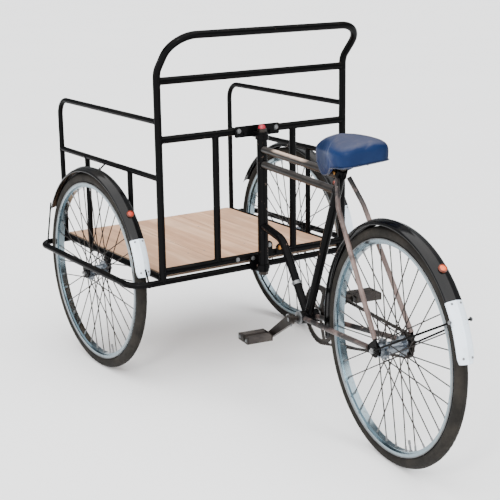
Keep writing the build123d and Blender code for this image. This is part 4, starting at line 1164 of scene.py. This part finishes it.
# Materials of the frame's own nodes, by the name of the node or of its body. The rest is galvanised.
NAMES_OF = {
    BLACK: ("bed", "rear_guard_stays"),
    REAR_BLACK: ("rear_frame",),
    PINKISH_BROWN: ("seat_stays", "chain_stays"),
    DUST_AND_HIGHLIGHT_BLACK: ("top_tubes",),
    PLYWOOD: ("floor_boards",),
    BRIGHT: ("front_axles", "rear_axle"),
    OILY: ("crank_set", "pedal_left", "pedal_right", "steering_column", "seat_post", "saddle_clamp",
           "saddle_rails", "rear_sprocket", "crank_spindle", "pedal_axles"),
    RIM: ("rim_front_left", "rim_front_right", "rim_rear"),
}
PAINT_OF = {name: paint for paint, names in NAMES_OF.items() for name in names}
for wheel, (centre, axis) in WHEELS.items():
    PAINT_OF[f"hub_{wheel}"] = hub_paint(wheel, centre, axis)
for name, node in frame["nodes"].items():
    node.data.materials.clear()
    node.data.materials.append(PAINT_OF.get(name) or PAINT_OF.get(node["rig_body"]) or GALVANISED)


def build_stage():
    """A pale floor under a soft studio sky."""
    half, sky_colour, sky_strength = 30.0, (0.93, 0.96, 1.0), 0.42
    mesh = bpy.data.meshes.new("floor")
    corners = [(-half, -half, 0), (half, -half, 0), (half, half, 0), (-half, half, 0)]
    mesh.from_pydata(corners, [], [(0, 1, 2, 3)])
    floor = bpy.data.objects.new("floor", mesh)
    bpy.context.scene.collection.objects.link(floor)
    paint = Paint("floor_paint", 0.9, specular=0.05)
    paint.give("Base Color", paint.mix(paint.noise(0.6, 2.0), (0.90, 0.90, 0.90), (0.94, 0.94, 0.94)))
    mesh.materials.append(paint.material)
    world = bpy.data.worlds.new("studio")
    world.use_nodes = True
    background = world.node_tree.nodes["Background"]
    background.inputs["Color"].default_value = (*sky_colour, 1.0)
    background.inputs["Strength"].default_value = sky_strength
    bpy.context.scene.world = world


def aim(name, light, place, target):
    """Set a light at a place, turned towards a target."""
    lamp = bpy.data.objects.new(name, light)
    lamp.location = place
    lamp.rotation_mode = "QUATERNION"
    lamp.rotation_quaternion = (Vector(target) - Vector(place)).to_track_quat("-Z", "Y")
    bpy.context.scene.collection.objects.link(lamp)


def build_panel_light(place, target, size, power, colour):
    """The round light that models the shapes from the upper left."""
    light = bpy.data.lights.new("key", "AREA")
    light.shape = "DISK"
    light.size = size
    light.energy = power
    light.color = colour
    aim("key", light, place, target)


def build_sun(place, strength, spread):
    """An even, very soft light from above, so that the floor stays pale to its edge."""
    light = bpy.data.lights.new("sky_sun", "SUN")
    light.energy = strength
    light.angle = math.radians(spread)
    aim("sky_sun", light, place, (0, 0, 0))


def build_camera():
    """The camera at the photograph's viewing angle."""
    place = Vector((-3.23433, 2.289, 1.526))
    yaw, pitch, roll = math.radians(-33.05), math.radians(-14.54), math.radians(-0.831)
    focal_pixels, image_pixels, sensor_width = 1219.338, 500.0, 36.0
    ahead = Vector((math.cos(pitch) * math.cos(yaw), math.cos(pitch) * math.sin(yaw), math.sin(pitch)))
    level = Vector((math.sin(yaw), -math.cos(yaw), 0))
    over = level.cross(ahead)
    right = level * math.cos(roll) + over * math.sin(roll)
    up = over * math.cos(roll) - level * math.sin(roll)
    lens_data = bpy.data.cameras.new("camera")
    lens_data.sensor_width = sensor_width
    lens_data.lens = focal_pixels * sensor_width / image_pixels
    lens_data.clip_end = 100.0
    camera = bpy.data.objects.new("camera", lens_data)
    camera.matrix_world = Matrix((
        (right.x, up.x, -ahead.x, place.x),
        (right.y, up.y, -ahead.y, place.y),
        (right.z, up.z, -ahead.z, place.z),
        (0, 0, 0, 1),
    ))
    bpy.context.scene.collection.objects.link(camera)
    bpy.context.scene.camera = camera


build_stage()
build_sun((-2.0, 2.5, 6.0), 8.0, 120.0)
build_panel_light((-3.5, 4.0, 3.5), (0, 0, 0.5), 1.0, 130.0, (1.0, 0.98, 0.95))
build_camera()
